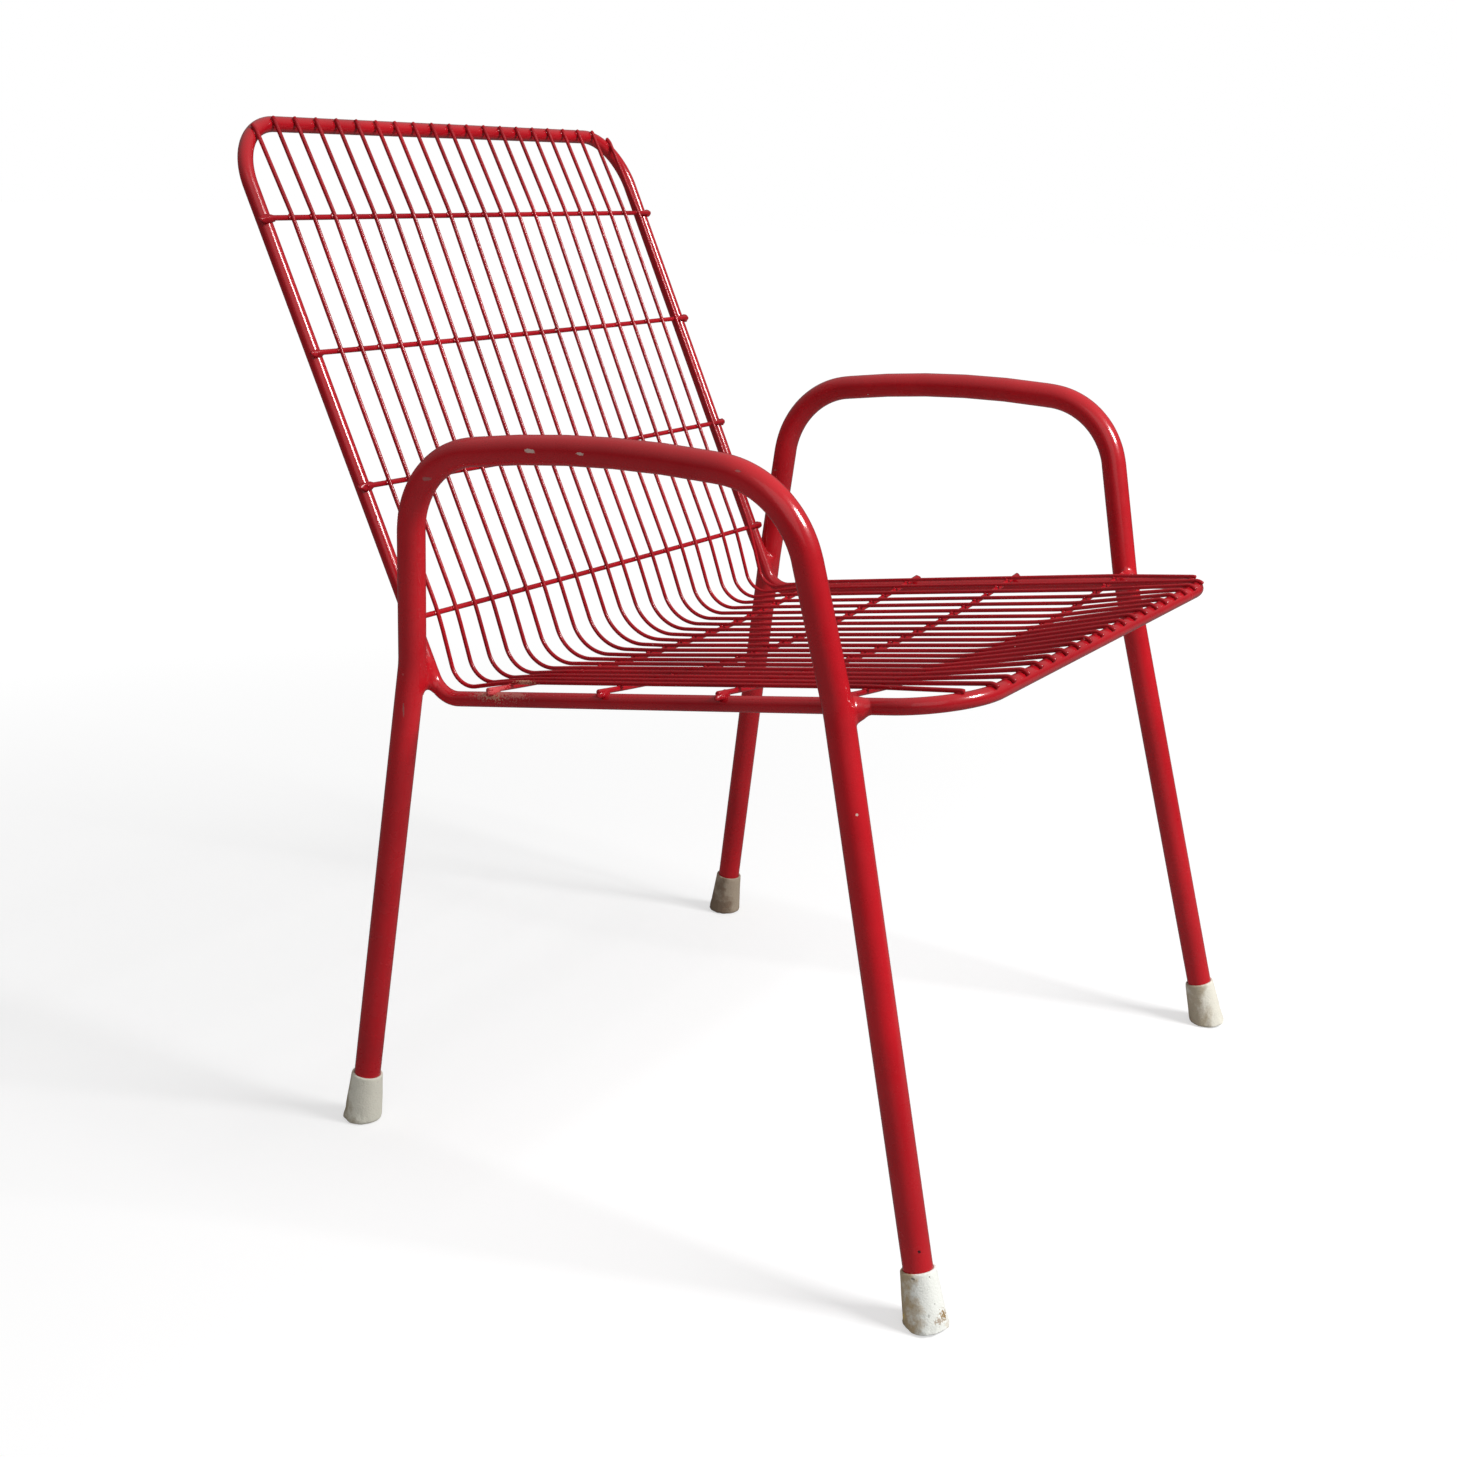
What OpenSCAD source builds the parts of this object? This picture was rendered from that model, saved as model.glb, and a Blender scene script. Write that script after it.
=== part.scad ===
// Garden armchair of welded round steel. Two bent tubes make the legs and arms,
// a closed loop of thinner tube carries the seat and the back, and a lattice of
// round wires is laid over the loop. Each foot wears a rubber ferrule.
// Millimetres, +Z up. The sitter faces -Y, so the sitter's right is -X. The origin
// is on the floor, in the middle of the chair's footprint.

/* [Seat and back loop] */
// Outside diameter of the loop's tube
loop_d = 12; // [10:0.5:16]
// Wall of the loop's tube
loop_wall = 1.25; // [1:0.25:2]
// Width of the loop between the centres of its side tubes
loop_w = 541; // [480:1:600]
// Height of the front rail's centre above the floor
seat_front_h = 448; // [420:2:480]
// How much lower than the front rail the rear bend lies
seat_fall = 69; // [40:1:80]
// Depth of the seat from the front rail to the rear bend
seat_depth = 455; // [430:5:490]
// Height of the top rail above the rear bend
back_rise = 435; // [400:5:480]
// How far the top rail leans behind the rear bend
back_lean = 207; // [170:1:230]
// Bend radius of the loop's front corners
front_corner_r = 58; // [40:1:75]
// Bend radius between the seat and the back
rear_bend_r = 25; // [20:1:35]
// Bend radius of the loop's top corners
top_corner_r = 52; // [35:1:70]

/* [Legs and arms] */
// Outside diameter of the leg tube
leg_d = 22; // [19:0.5:25]
// Wall of the leg tube
leg_wall = 1.5; // [1:0.25:2]
// Half the width between the front feet, at the floor
front_foot_x = 322; // [305:1:335]
// How far the front feet stand in front of the front rail
front_foot_out = 27; // [0:1:50]
// Half the width between the rear feet, at the floor
rear_foot_x = 305; // [295:1:320]
// How far the rear feet stand behind the rear bend
rear_foot_out = 65; // [40:1:90]
// Distance from the front rail back to the front joints, along the seat
front_joint = 89; // [80:1:110]
// Distance from the rear bend up to the rear joints, along the back
rear_joint = 34; // [32:1:50]
// Half the width between the centres of the arms
arm_x = 301; // [294:1:320]
// Height of the arm's front corner above the floor
arm_front_h = 592; // [580:2:620]
// Height of the arm's rear corner above the floor
arm_rear_h = 576; // [560:2:605]
// Rise of the middle of the arm above the line between its corners
arm_crown = 17.5; // [6:0.5:24]
// How far the arm's front corner lies behind the front rail
arm_front_back = 126; // [110:2:150]
// How far the arm's rear corner lies behind the front rail
arm_rear_back = 457; // [440:2:475]
// Bend radius of the arm's corners
arm_corner_r = 75; // [60:1:85]
// Bend radius of the legs at the joints with the loop
knee_r = 130; // [90:5:170]

/* [Wire lattice] */
// Diameter of the long wires
long_wire_d = 3.2; // [2.5:0.1:4]
// Diameter of the cross wires
cross_wire_d = 4; // [3:0.1:5]
// Number of long wires
long_wires = 21; // [17:2:23]
// Width between the centres of the outermost long wires
long_wire_span = 500; // [440:1:510]
// Distance from the top rail down to the first back cross wire
back_wire_first = 82; // [70:1:100]
// Distance between the back cross wires
back_wire_pitch = 111; // [100:1:116]
// Distance from the front rail to the first seat cross wire
seat_wire_first = 86; // [70:1:95]
// Distance between the seat cross wires
seat_wire_pitch = 106; // [95:1:108]
// How far the seat cross wires hang down in the middle
seat_dish = 15; // [5:0.5:25]
// How far the two lower back cross wires are bowed back in the middle
back_dish = 6; // [4:0.5:12]
// Length of a cross wire past the centre of the side tube
cross_wire_over = 4; // [3:0.5:6]
// Length of a long wire above the centre of the top rail
long_wire_over = 5.5; // [3:0.5:8]
// Bend radius of the long wires between the seat and the back
long_bend_r = 60; // [45:1:65]
// Bend radius of the slight bends where a long wire crosses a cross wire
long_kink_r = 220; // [120:10:300]
// Angle by which a long wire curls over the front rail
front_curl = 50; // [30:1:70]
// Straight end of a long wire past its curl
front_tip = 1.2; // [0.8:0.1:3]

/* [Ferrules] */
// Length of a ferrule along the leg
ferrule_h = 44; // [36:1:52]
// Outside diameter of a ferrule at its mouth
ferrule_mouth_d = 26.6; // [26:0.1:30]
// Outside diameter of a ferrule at the floor
ferrule_foot_d = 33; // [31:0.5:38]
// Thickness of rubber under the end of the leg
ferrule_floor = 6; // [4:0.5:9]
// Rounding of a ferrule's mouth
ferrule_lip = 1; // [0.5:0.1:1.2]

/* [Joints and clearances] */
// Gap between two tubes or wires that are welded together
weld_gap = 0.1; // [0.06:0.01:0.2]
// Radius of a weld fillet, seen along the loop's tube
fillet_r = 9; // [7.5:0.5:10]
// Reach of a weld fillet to either side of the joint
fillet_reach = 14; // [12.5:0.5:18]
// How far the loop's tube stands bare out of a weld fillet, away from the leg
fillet_bare = 1.5; // [1:0.25:2.5]
// Clearance between a ferrule and its leg
ferrule_fit = 0.05; // [0.02:0.01:0.1]

/* [Hidden] */
// Smoothness of tubes, wires, of the sweep of a bend and of a cross wire's long arc
tube_fn = 48;
wire_fn = 24;
bend_fn = 96;
arc_steps = 48;

// How much thicker a bend's radius is than a straight's, as a share of the diameter
bend_swell = 0.0075;
// The least turn of a path, in degrees, that is made as a bend
min_turn = 0.12;
// Share of a bend's length that a straight may fill, and share of the length after
// which a straight would come out of the bend's side
fill_share = 0.25;
side_share = 0.7;
// The least curl of a long wire that ends on a corner of the loop, in degrees
least_curl = 8;

lacquer = "#d4211f";
rubber = "#dcdad2";

half_w = loop_w / 2;
loop_r = loop_d / 2;
leg_r = leg_d / 2;
cross_r = cross_wire_d / 2;
long_r = long_wire_d / 2;
back_wires = 4;
seat_wires = 4;
sides = ["right", "left"];
ends = ["front", "rear"];

// Main points of the chair's middle plane, with the front rail at Y = 0
front_rail = [0, 0, seat_front_h];
rear_bend = [0, seat_depth, seat_front_h - seat_fall];
top_rail = rear_bend + [0, back_lean, back_rise];

// Directions along and square to the seat, from the front rail back and up
seat_run = unit(rear_bend - front_rail);
seat_up = [0, -seat_run.z, seat_run.y];

// Directions along and square to the back, from the rear bend up and forward
back_run = unit(top_rail - rear_bend);
back_out = [0, -back_run.z, back_run.y];

function unit(v) = v / norm(v);

// A closed path comes back to its first point, so its numbers go round
function at(p, i) = p[(i + len(p)) % len(p)];
function run(p, i) = unit(at(p, i + 1) - at(p, i));
function turn(p, i) = acos(max(-1, min(1, run(p, i - 1) * run(p, i))));

// Length of a corner that its bend replaces, and how far a straight reaches on
// into the bend. Bends are a hair thicker, so the straight's end is inside.
function cut_back(p, r, i) = at(r, i) == 0 ? 0 : at(r, i) * tan(turn(p, i) / 2);
function reach_in(p, r, d, i) =
    at(r, i) == 0 ? 0 :
    min(fill_share * at(r, i) * turn(p, i) * PI / 180, side_share * sqrt(2 * at(r, i) * bend_swell * d));
function run_start(p, r, d, i) = at(p, i) + run(p, i) * (cut_back(p, r, i) - reach_in(p, r, d, i));
function run_end(p, r, d, i) = at(p, i + 1) - run(p, i) * (cut_back(p, r, i + 1) - reach_in(p, r, d, i + 1));
function slim(d) = d * (1 - 2 * bend_swell);

// Numbers of the points of an open path that are ends or real bends
function kept(p) =
    let (last = len(p) - 1)
    [for (i = [0:last]) if (i == 0 || i == last || turn(p, i) > min_turn) i];

// One straight length of round bar
module straight(a, b, d, fn) {
    u = unit(b - a);
    translate(a)
        rotate([0, acos(u.z), atan2(u.y, u.x)])
            cylinder(d = d, h = norm(b - a), $fn = fn);
}

// One bend of round bar at point i of a path, run on at both ends by some degrees
module bend(p, r, i, d, fn, more = 0) {
    u = run(p, i - 1);
    n = unit(cross(u, run(p, i)));
    start = p[i] - u * cut_back(p, r, i);
    centre = start + cross(n, u) * r[i];
    spoke = unit(start - centre);
    tilt = acos(n.z);
    heading = atan2(n.y, n.x);
    x_axis = [cos(tilt) * cos(heading), cos(tilt) * sin(heading), -sin(tilt)];
    y_axis = [-sin(heading), cos(heading), 0];
    translate(centre)
        rotate([0, tilt, heading])
            rotate([0, 0, atan2(spoke * y_axis, spoke * x_axis) - more])
                rotate_extrude(angle = turn(p, i) + 2 * more, $fn = bend_fn)
                    translate([r[i], 0])
                        circle(d = d, $fn = fn);
}

// Round bar bent along an open path, with a bend radius for each point
module bent_bar(points, radii, d, fn) {
    keep = kept(points);
    p = [for (i = keep) points[i]];
    r = [for (i = keep) radii[i]];
    last = len(p) - 1;
    for (i = [0:last - 1])
        straight(run_start(p, r, d, i), run_end(p, r, d, i), slim(d), fn);
    if (last > 1)
        for (i = [1:last - 1])
            bend(p, r, i, d, fn);
}

// Round bar bent round a closed path
module closed_bar(p, r, d, fn) {
    for (i = [0:len(p) - 1]) {
        straight(run_start(p, r, d, i), run_end(p, r, d, i), slim(d), fn);
        bend(p, r, i, d, fn);
    }
}

// Seat and back loop, round its six corners
loop_corner = [half_w, 0, 0];
loop_path = [
    front_rail + loop_corner,
    rear_bend + loop_corner,
    top_rail + loop_corner,
    top_rail - loop_corner,
    rear_bend - loop_corner,
    front_rail - loop_corner
];
loop_radii = [front_corner_r, rear_bend_r, top_corner_r, top_corner_r, rear_bend_r, front_corner_r];

module loop_bar(d) closed_bar(loop_path, loop_radii, d, tube_fn);

// Places of the joints on the left side tube of the loop
front_joint_at = front_rail + loop_corner + seat_run * front_joint;
rear_joint_at = rear_bend + loop_corner + back_run * rear_joint;

// Corners of the left side frame
front_foot = [front_foot_x, -front_foot_out, 0];
rear_foot = [rear_foot_x, seat_depth + rear_foot_out, 0];
arm_front = [arm_x, arm_front_back, arm_front_h];
arm_rear = [arm_x, arm_rear_back, arm_rear_h];
arm_middle = (arm_front + arm_rear) / 2 + [0, 0, arm_crown];

// A knee is the corner of a leg's centre line where the leg's outer bend lies
// beside the loop's tube. Its corner follows the joint: each pass moves it so that
// the middle of the bend lies one tube spacing out from the joint.
knee_spacing = leg_r + loop_r + weld_gap;
knee_passes = 6;
function knee(joint, along, foot, corner, passes, at) =
    let (
        up = unit(at - foot),
        on = unit(corner - at),
        swing = acos(up * on),
        inner = unit(on - up) * knee_r * (1 / cos(swing / 2) - 1),
        side = unit(cross(up + on, along)),
        out = side * (side.x > 0 ? 1 : -1),
        moved = joint + out * knee_spacing - inner
    )
    passes == 0 ? at : knee(joint, along, foot, corner, passes - 1, moved);
front_knee = knee(front_joint_at, seat_run, front_foot, arm_front, knee_passes, front_joint_at + [knee_spacing, 0, 0]);
rear_knee = knee(rear_joint_at, back_run, rear_foot, arm_rear, knee_passes, rear_joint_at + [knee_spacing, 0, 0]);

// The arm is one long bow between its corners, so its bend radius takes up the
// straight that the corner bends leave
side_corners = [rear_foot, rear_knee, arm_rear, arm_middle, arm_front, front_knee, front_foot];
rear_corner = 1;
front_corner = 5;
bow_share = 0.96;
bow_straight = norm(arm_middle - arm_rear) - arm_corner_r * tan(max(turn(side_corners, 2), turn(side_corners, 4)) / 2);
bow_r = bow_share * bow_straight / tan(turn(side_corners, 3) / 2);
side_radii = [0, knee_r, arm_corner_r, bow_r, arm_corner_r, knee_r, 0];

// A leg's tube ends on the floor of its ferrule, this far up its centre line
front_leg_run = unit(front_knee - front_foot);
rear_leg_run = unit(rear_knee - rear_foot);
leg_end = ferrule_floor + ferrule_fit;

// Furthest reach of the front ferrules and of the top rail, to centre the chair
flare = (ferrule_foot_d - ferrule_mouth_d) / 2 / ferrule_h;
front_lean = atan2(front_leg_run.y, front_leg_run.z);
front_reach = -front_foot_out - ferrule_foot_d / 2 / (cos(front_lean) - flare * sin(front_lean));
rear_reach = top_rail.y + loop_r;
middle_y = (front_reach + rear_reach) / 2;

// Side tube with both ends moved along the legs: up from the floor, or down past it
module side_bar(d, end_up) {
    ends_moved = [
        rear_foot + rear_leg_run * end_up,
        rear_knee,
        arm_rear,
        arm_middle,
        arm_front,
        front_knee,
        front_foot + front_leg_run * end_up
    ];
    bent_bar(ends_moved, side_radii, d, tube_fn);
}

// Cross wires are arcs: radius of the arc, slope at a place, and dip at a place
function arc_r(dish) = (half_w * half_w + dish * dish) / (2 * dish);
function arc_slope(dish, x) = dish == 0 ? 0 : asin(x / arc_r(dish));
function arc_dip(dish, x) = dish == 0 ? 0 : dish - arc_r(dish) * (1 - cos(arc_slope(dish, x)));

// Height of a cross wire over the loop's plane at its ends and at a place
function cross_end(dish) = (loop_r + cross_r + weld_gap) / cos(arc_slope(dish, half_w));
function cross_height(dish, x) = cross_end(dish) - arc_dip(dish, x);

// Height of a long wire that lies on a cross wire
function long_height(dish, x) = cross_height(dish, x) + (cross_r + long_r + weld_gap) / cos(arc_slope(dish, x));

// Distances of the cross wires from the top rail and from the front rail. The top
// back wire is straight, the next one bowed by half as much as those below it.
function back_wire_at(i) = back_wire_first + back_wire_pitch * i;
function seat_wire_at(i) = seat_wire_first + seat_wire_pitch * i;
function back_wire_dish(i) = back_dish * min(1, i / 2);

// Points over the back and over the seat, by distance, height and place across
function over_back(t, h, x) = top_rail - back_run * t + back_out * h + [x, 0, 0];
function over_seat(s, h, x) = front_rail + seat_run * s + seat_up * h + [x, 0, 0];

// A cross wire in its own frame: along X, bowed down in the middle
module cross_bar(dish, reach, d) {
    if (dish == 0) {
        straight([-reach, 0, 0], [reach, 0, 0], d, wire_fn);
    } else {
        r = arc_r(dish);
        sweep = asin(reach / r);
        translate([0, 0, r - dish])
            rotate([90, 0, 0])
                rotate([0, 0, -90 - sweep])
                    rotate_extrude(angle = 2 * sweep, $fn = arc_steps * 180 / sweep)
                        translate([r, 0])
                            circle(d = d, $fn = wire_fn);
    }
}

// A cross wire in its place on the back or on the seat
cross_reach = half_w + cross_wire_over;
module back_bar(i, reach, d) {
    dish = back_wire_dish(i);
    translate(over_back(back_wire_at(i), cross_end(dish), 0))
        rotate([atan2(back_run.z, back_run.y), 0, 0])
            cross_bar(dish, reach, d);
}
module seat_bar(i, reach, d) {
    translate(over_seat(seat_wire_at(i), cross_end(seat_dish), 0))
        rotate([atan2(seat_run.z, seat_run.y), 0, 0])
            cross_bar(seat_dish, reach, d);
}

// How far a corner bend of the loop falls short of its corner at a place across,
// and the angle between the corner's tube and the width of the chair there
function past_corner(r, x) = max(0, abs(x) - half_w + r);
function corner_skew(r, x) = asin(past_corner(r, x) / r);
function corner_drop(r, x) = r * (1 - cos(corner_skew(r, x)));

// Centre line of a long wire, from its top end down the back, over the seat and
// round the front rail. The curl's radius grows where the rail turns at its corner,
// because the wire crosses it at a slant there.
rail_lift = loop_r + long_r + weld_gap;
function long_x(i) = -long_wire_span / 2 + long_wire_span / (long_wires - 1) * i;
function flat_cross(a, b) = a.y * b.z - a.z * b.y;
function meet(a, a_dir, b, b_dir) = a + a_dir * (flat_cross(b - a, b_dir) / flat_cross(a_dir, b_dir));
function long_path(x) =
    let (
        on_top_rail = over_back(corner_drop(top_corner_r, x), rail_lift, x),
        on_back = [for (i = [0:back_wires - 1]) over_back(back_wire_at(i), long_height(back_wire_dish(i), x), x)],
        on_seat = [for (i = [seat_wires - 1:-1:0]) over_seat(seat_wire_at(i), long_height(seat_dish, x), x)],
        top_end = on_top_rail + unit(on_top_rail - on_back[0]) * long_wire_over,
        crook = meet(on_back[back_wires - 1], back_run, on_seat[0], seat_run),
        skew = corner_skew(front_corner_r, x),
        curl_r = rail_lift / pow(cos(skew), 2),
        curl_centre = over_seat(corner_drop(front_corner_r, x), rail_lift - curl_r, x),
        to_rail = curl_centre - on_seat[seat_wires - 1],
        reach = norm(to_rail),
        rise = asin(curl_r / reach),
        ahead = unit(to_rail),
        above = [0, ahead.z, -ahead.y],
        dir_in = ahead * cos(rise) + above * sin(rise),
        above_in = above * cos(rise) - ahead * sin(rise),
        curl = max(front_curl - skew, least_curl),
        dir_out = dir_in * cos(curl) - above_in * sin(curl),
        corner = curl_r * tan(curl / 2),
        curl_point = on_seat[seat_wires - 1] + dir_in * (sqrt(reach * reach - curl_r * curl_r) + corner),
        tip = curl_point + dir_out * (corner + front_tip)
    )
    concat([top_end], on_back, [crook], on_seat, [curl_point, tip]);
function long_radii(x) = concat(
    [0],
    [for (i = [1:back_wires]) long_kink_r],
    [long_bend_r],
    [for (i = [1:seat_wires]) long_kink_r],
    [rail_lift / pow(cos(corner_skew(front_corner_r, x)), 2)],
    [0]
);

// Weld fillet round the crossing of a leg and the loop's tube on the left side. It is
// cut to the tubes by their shapes at the joint, each run on past the fillet's ends.
fillet_sweep = 10;
module fillet(joint, along, corner) {
    middle = joint + [fillet_r + fillet_bare - loop_r, 0, 0];
    half = fillet_reach - fillet_r;
    difference() {
        union() {
            straight(middle - along * half, middle + along * half, 2 * fillet_r, tube_fn);
            for (e = [-1, 1])
                translate(middle + along * half * e)
                    sphere(r = fillet_r, $fn = tube_fn);
        }
        straight(joint - along * 2 * fillet_reach, joint + along * 2 * fillet_reach, loop_d + weld_gap, tube_fn);
        bend(side_corners, side_radii, corner, leg_d + weld_gap, tube_fn, fillet_sweep);
    }
}

// Rubber cup turned round the leg's centre line and cut flat at the floor
module cup(foot, leg_run) {
    spare = ferrule_foot_d;
    room = 2 * ferrule_h;
    mouth_r = ferrule_mouth_d / 2;
    intersection() {
        difference() {
            translate(foot)
                rotate([0, acos(leg_run.z), atan2(leg_run.y, leg_run.x)])
                    rotate_extrude($fn = tube_fn) {
                        polygon([
                            [0, -spare],
                            [mouth_r + flare * (ferrule_h + spare), -spare],
                            [mouth_r + flare * ferrule_lip, ferrule_h - ferrule_lip],
                            [mouth_r - ferrule_lip, ferrule_h - ferrule_lip],
                            [mouth_r - ferrule_lip, ferrule_h],
                            [0, ferrule_h]
                        ]);
                        translate([mouth_r - ferrule_lip, ferrule_h - ferrule_lip])
                            circle(r = ferrule_lip, $fn = wire_fn);
                    }
            straight(foot + leg_run * ferrule_floor, foot + leg_run * room, leg_d + 2 * ferrule_fit, tube_fn);
        }
        translate([foot.x - room, foot.y - room, 0])
            cube([2 * room, 2 * room, room]);
    }
}

// Draws the left side as modelled, or mirrors it for the right side
module on_side(side) {
    mirror([side == "right" ? 1 : 0, 0, 0])
        children();
}

// Puts the chair's middle on the origin
module placed() {
    translate([0, -middle_y, 0])
        children();
}

module side_frame(side) {
    color(lacquer)
        placed()
            on_side(side)
                difference() {
                    side_bar(leg_d, leg_end);
                    side_bar(leg_d - 2 * leg_wall, 0);
                }
}

module seat_back_frame() {
    color(lacquer)
        placed()
            difference() {
                loop_bar(loop_d);
                loop_bar(loop_d - 2 * loop_wall);
            }
}

module long_wire(i) {
    x = long_x(i);
    color(lacquer)
        placed()
            bent_bar(long_path(x), long_radii(x), long_wire_d, wire_fn);
}

module back_cross_wire(i) {
    color(lacquer)
        placed()
            back_bar(i, cross_reach, cross_wire_d);
}

module seat_cross_wire(i) {
    color(lacquer)
        placed()
            seat_bar(i, cross_reach, cross_wire_d);
}

module weld(end, side) {
    color(lacquer)
        placed()
            on_side(side)
                if (end == "front") difference() {
                    fillet(front_joint_at, seat_run, front_corner);
                    seat_bar(0, cross_reach + weld_gap, cross_wire_d + 2 * weld_gap);
                }
                else fillet(rear_joint_at, back_run, rear_corner);
}

module ferrule(end, side) {
    color(rubber)
        placed()
            on_side(side)
                if (end == "front") cup(front_foot, front_leg_run);
                else cup(rear_foot, rear_leg_run);
}

function two_digits(i) = str(i < 10 ? "0" : "", i);
function long_wire_name(i) = str("long_wire_", two_digits(i + 1));
function back_wire_name(i) = str("back_cross_wire_", i + 1);
function seat_wire_name(i) = str("seat_cross_wire_", i + 1);
function side_name(side) = str("side_frame_", side);
function weld_name(end, side) = str("weld_", end, "_", side);
function ferrule_name(end, side) = str("ferrule_", end, "_", side);

seat_back_frame();
for (s = sides)
    side_frame(s);
for (i = [0:long_wires - 1])
    long_wire(i);
for (i = [0:back_wires - 1])
    back_cross_wire(i);
for (i = [0:seat_wires - 1])
    seat_cross_wire(i);
for (e = ends, s = sides)
    weld(e, s);
for (e = ends, s = sides)
    ferrule(e, s);
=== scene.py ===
# %% [markdown]
# # A garden armchair of bent and welded steel
# This lesson dresses a construction model as a real chair: glossy red lacquer on bent
# tube and wire, small welds at every crossing, and worn rubber ferrules on the feet. The
# model comes first, because every piece is made in its frame: metres, +Z up, the sitter
# facing -Y.

# %% Load the construction model
import random
from math import acos, asin, atan2, ceil, copysign, cos, degrees, pi, radians, sin, sqrt, tan

import bpy
import numpy as np
from mathutils import Matrix, Vector, noise
from numpy.linalg import norm


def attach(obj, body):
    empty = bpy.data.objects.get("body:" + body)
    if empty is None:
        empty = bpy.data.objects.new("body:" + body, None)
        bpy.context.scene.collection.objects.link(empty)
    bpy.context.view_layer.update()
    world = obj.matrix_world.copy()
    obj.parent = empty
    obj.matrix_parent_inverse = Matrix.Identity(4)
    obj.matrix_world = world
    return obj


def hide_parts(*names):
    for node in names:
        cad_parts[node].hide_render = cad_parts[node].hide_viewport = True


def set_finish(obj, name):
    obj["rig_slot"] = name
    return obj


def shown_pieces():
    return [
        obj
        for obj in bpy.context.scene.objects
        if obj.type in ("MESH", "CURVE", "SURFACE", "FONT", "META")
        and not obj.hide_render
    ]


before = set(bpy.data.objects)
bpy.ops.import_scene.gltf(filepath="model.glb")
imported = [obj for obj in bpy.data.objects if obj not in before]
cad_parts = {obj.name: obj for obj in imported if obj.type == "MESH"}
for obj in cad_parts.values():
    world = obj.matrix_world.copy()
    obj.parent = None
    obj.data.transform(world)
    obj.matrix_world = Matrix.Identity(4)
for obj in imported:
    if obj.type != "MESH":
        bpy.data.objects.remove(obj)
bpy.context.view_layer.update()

MM = 0.001
scene = bpy.context.scene
scene.view_settings.view_transform = "Standard"
print("nodes", len(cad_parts))

# %% [markdown]
# ## The camera
# The camera comes before the pieces, because the wear marks are placed later by looking
# along its lines of sight. A photograph that was cropped has its optical centre off the
# middle; a small lens shift gives that without turning the camera.

# %% Camera
PICTURE = 1457
FOCAL_PX = 1966.83
CENTRE_PX = Vector((700.99, 806.4))
CAMERA_AT = Vector((-1470.41, -827.35, 799.48)) * MM
AZIMUTH, ELEVATION, ROLL = (radians(a) for a in (-58.92, 18.29, 1.74))
SENSOR_MM = 36

back = Vector((sin(AZIMUTH) * cos(ELEVATION), -cos(AZIMUTH) * cos(ELEVATION), sin(ELEVATION)))
level_right = (-back).cross(Vector((0, 0, 1))).normalized()
level_up = level_right.cross(-back)
camera_right = level_right * cos(ROLL) + level_up * sin(ROLL)
camera_up = level_up * cos(ROLL) - level_right * sin(ROLL)

lens = bpy.data.cameras.new("camera")
lens.sensor_width = SENSOR_MM
lens.lens = FOCAL_PX / PICTURE * lens.sensor_width
lens.shift_x = (PICTURE / 2 - CENTRE_PX.x) / PICTURE
lens.shift_y = (CENTRE_PX.y - PICTURE / 2) / PICTURE
camera = bpy.data.objects.new("camera", lens)
scene.collection.objects.link(camera)
turn = Matrix((camera_right, camera_up, back)).transposed()
camera.matrix_world = Matrix.Translation(CAMERA_AT) @ turn.to_4x4()
scene.camera = camera
print("lens", round(lens.lens, 2), "shift", round(lens.shift_x, 4), round(lens.shift_y, 4))

# %% [markdown]
# ## The chair's measures
# Tube and wire are bent along centre lines, so a handful of measures gives the whole
# chair. Most are the construction model's; they are in millimetres. Lines are written
# with the front rail at Y = 0 and moved to the frame's origin at the end.

# %% Measures of the seat and back loop
LOOP_R = 6.0
HALF_W = 270.5
FRONT_RAIL = np.array([0, 0, 448.0])
REAR_BEND = np.array([0, 455.0, 379.0])
TOP_RAIL = np.array([0, 662.0, 814.0])
FRONT_CORNER_R, REAR_BEND_R, TOP_CORNER_R = 58.0, 25.0, 52.0
MIDDLE_Y = 311.85
WELD_GAP = 0.1


def unit(v):
    return v / norm(v)


ACROSS = np.array([1.0, 0, 0])
SEAT_RUN = unit(REAR_BEND - FRONT_RAIL)
SEAT_UP = np.array([0, -SEAT_RUN[2], SEAT_RUN[1]])
BACK_RUN = unit(TOP_RAIL - REAR_BEND)
BACK_OUT = np.array([0, -BACK_RUN[2], BACK_RUN[1]])
print("seat slopes", round(degrees(asin(-SEAT_RUN[2])), 1), "degrees")

# %% Measures of the legs and arms
LEG_R = 11.0
FRONT_FOOT = np.array([322.0, -27.0, 0])
REAR_FOOT = np.array([305.0, 520.0, 0])
ARM_FRONT = np.array([301.0, 126.0, 592.0])
ARM_REAR = np.array([301.0, 457.0, 576.0])
ARM_CROWN = 17.5
ARM_CORNER_R, KNEE_R = 75.0, 130.0
JOINT_BEHIND, JOINT_UP = 89, 34
FRONT_JOINT = FRONT_RAIL + ACROSS * HALF_W + SEAT_RUN * JOINT_BEHIND
REAR_JOINT = REAR_BEND + ACROSS * HALF_W + BACK_RUN * JOINT_UP
CUP_H, MOUTH_R, FOOT_R, LEG_END = 44.0, 13.3, 16.5, 6.0
SIDES = (("left", 1), ("right", -1))
print("arms slope", round(float(ARM_FRONT[2] - ARM_REAR[2]), 1), "mm down to the back")

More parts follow.
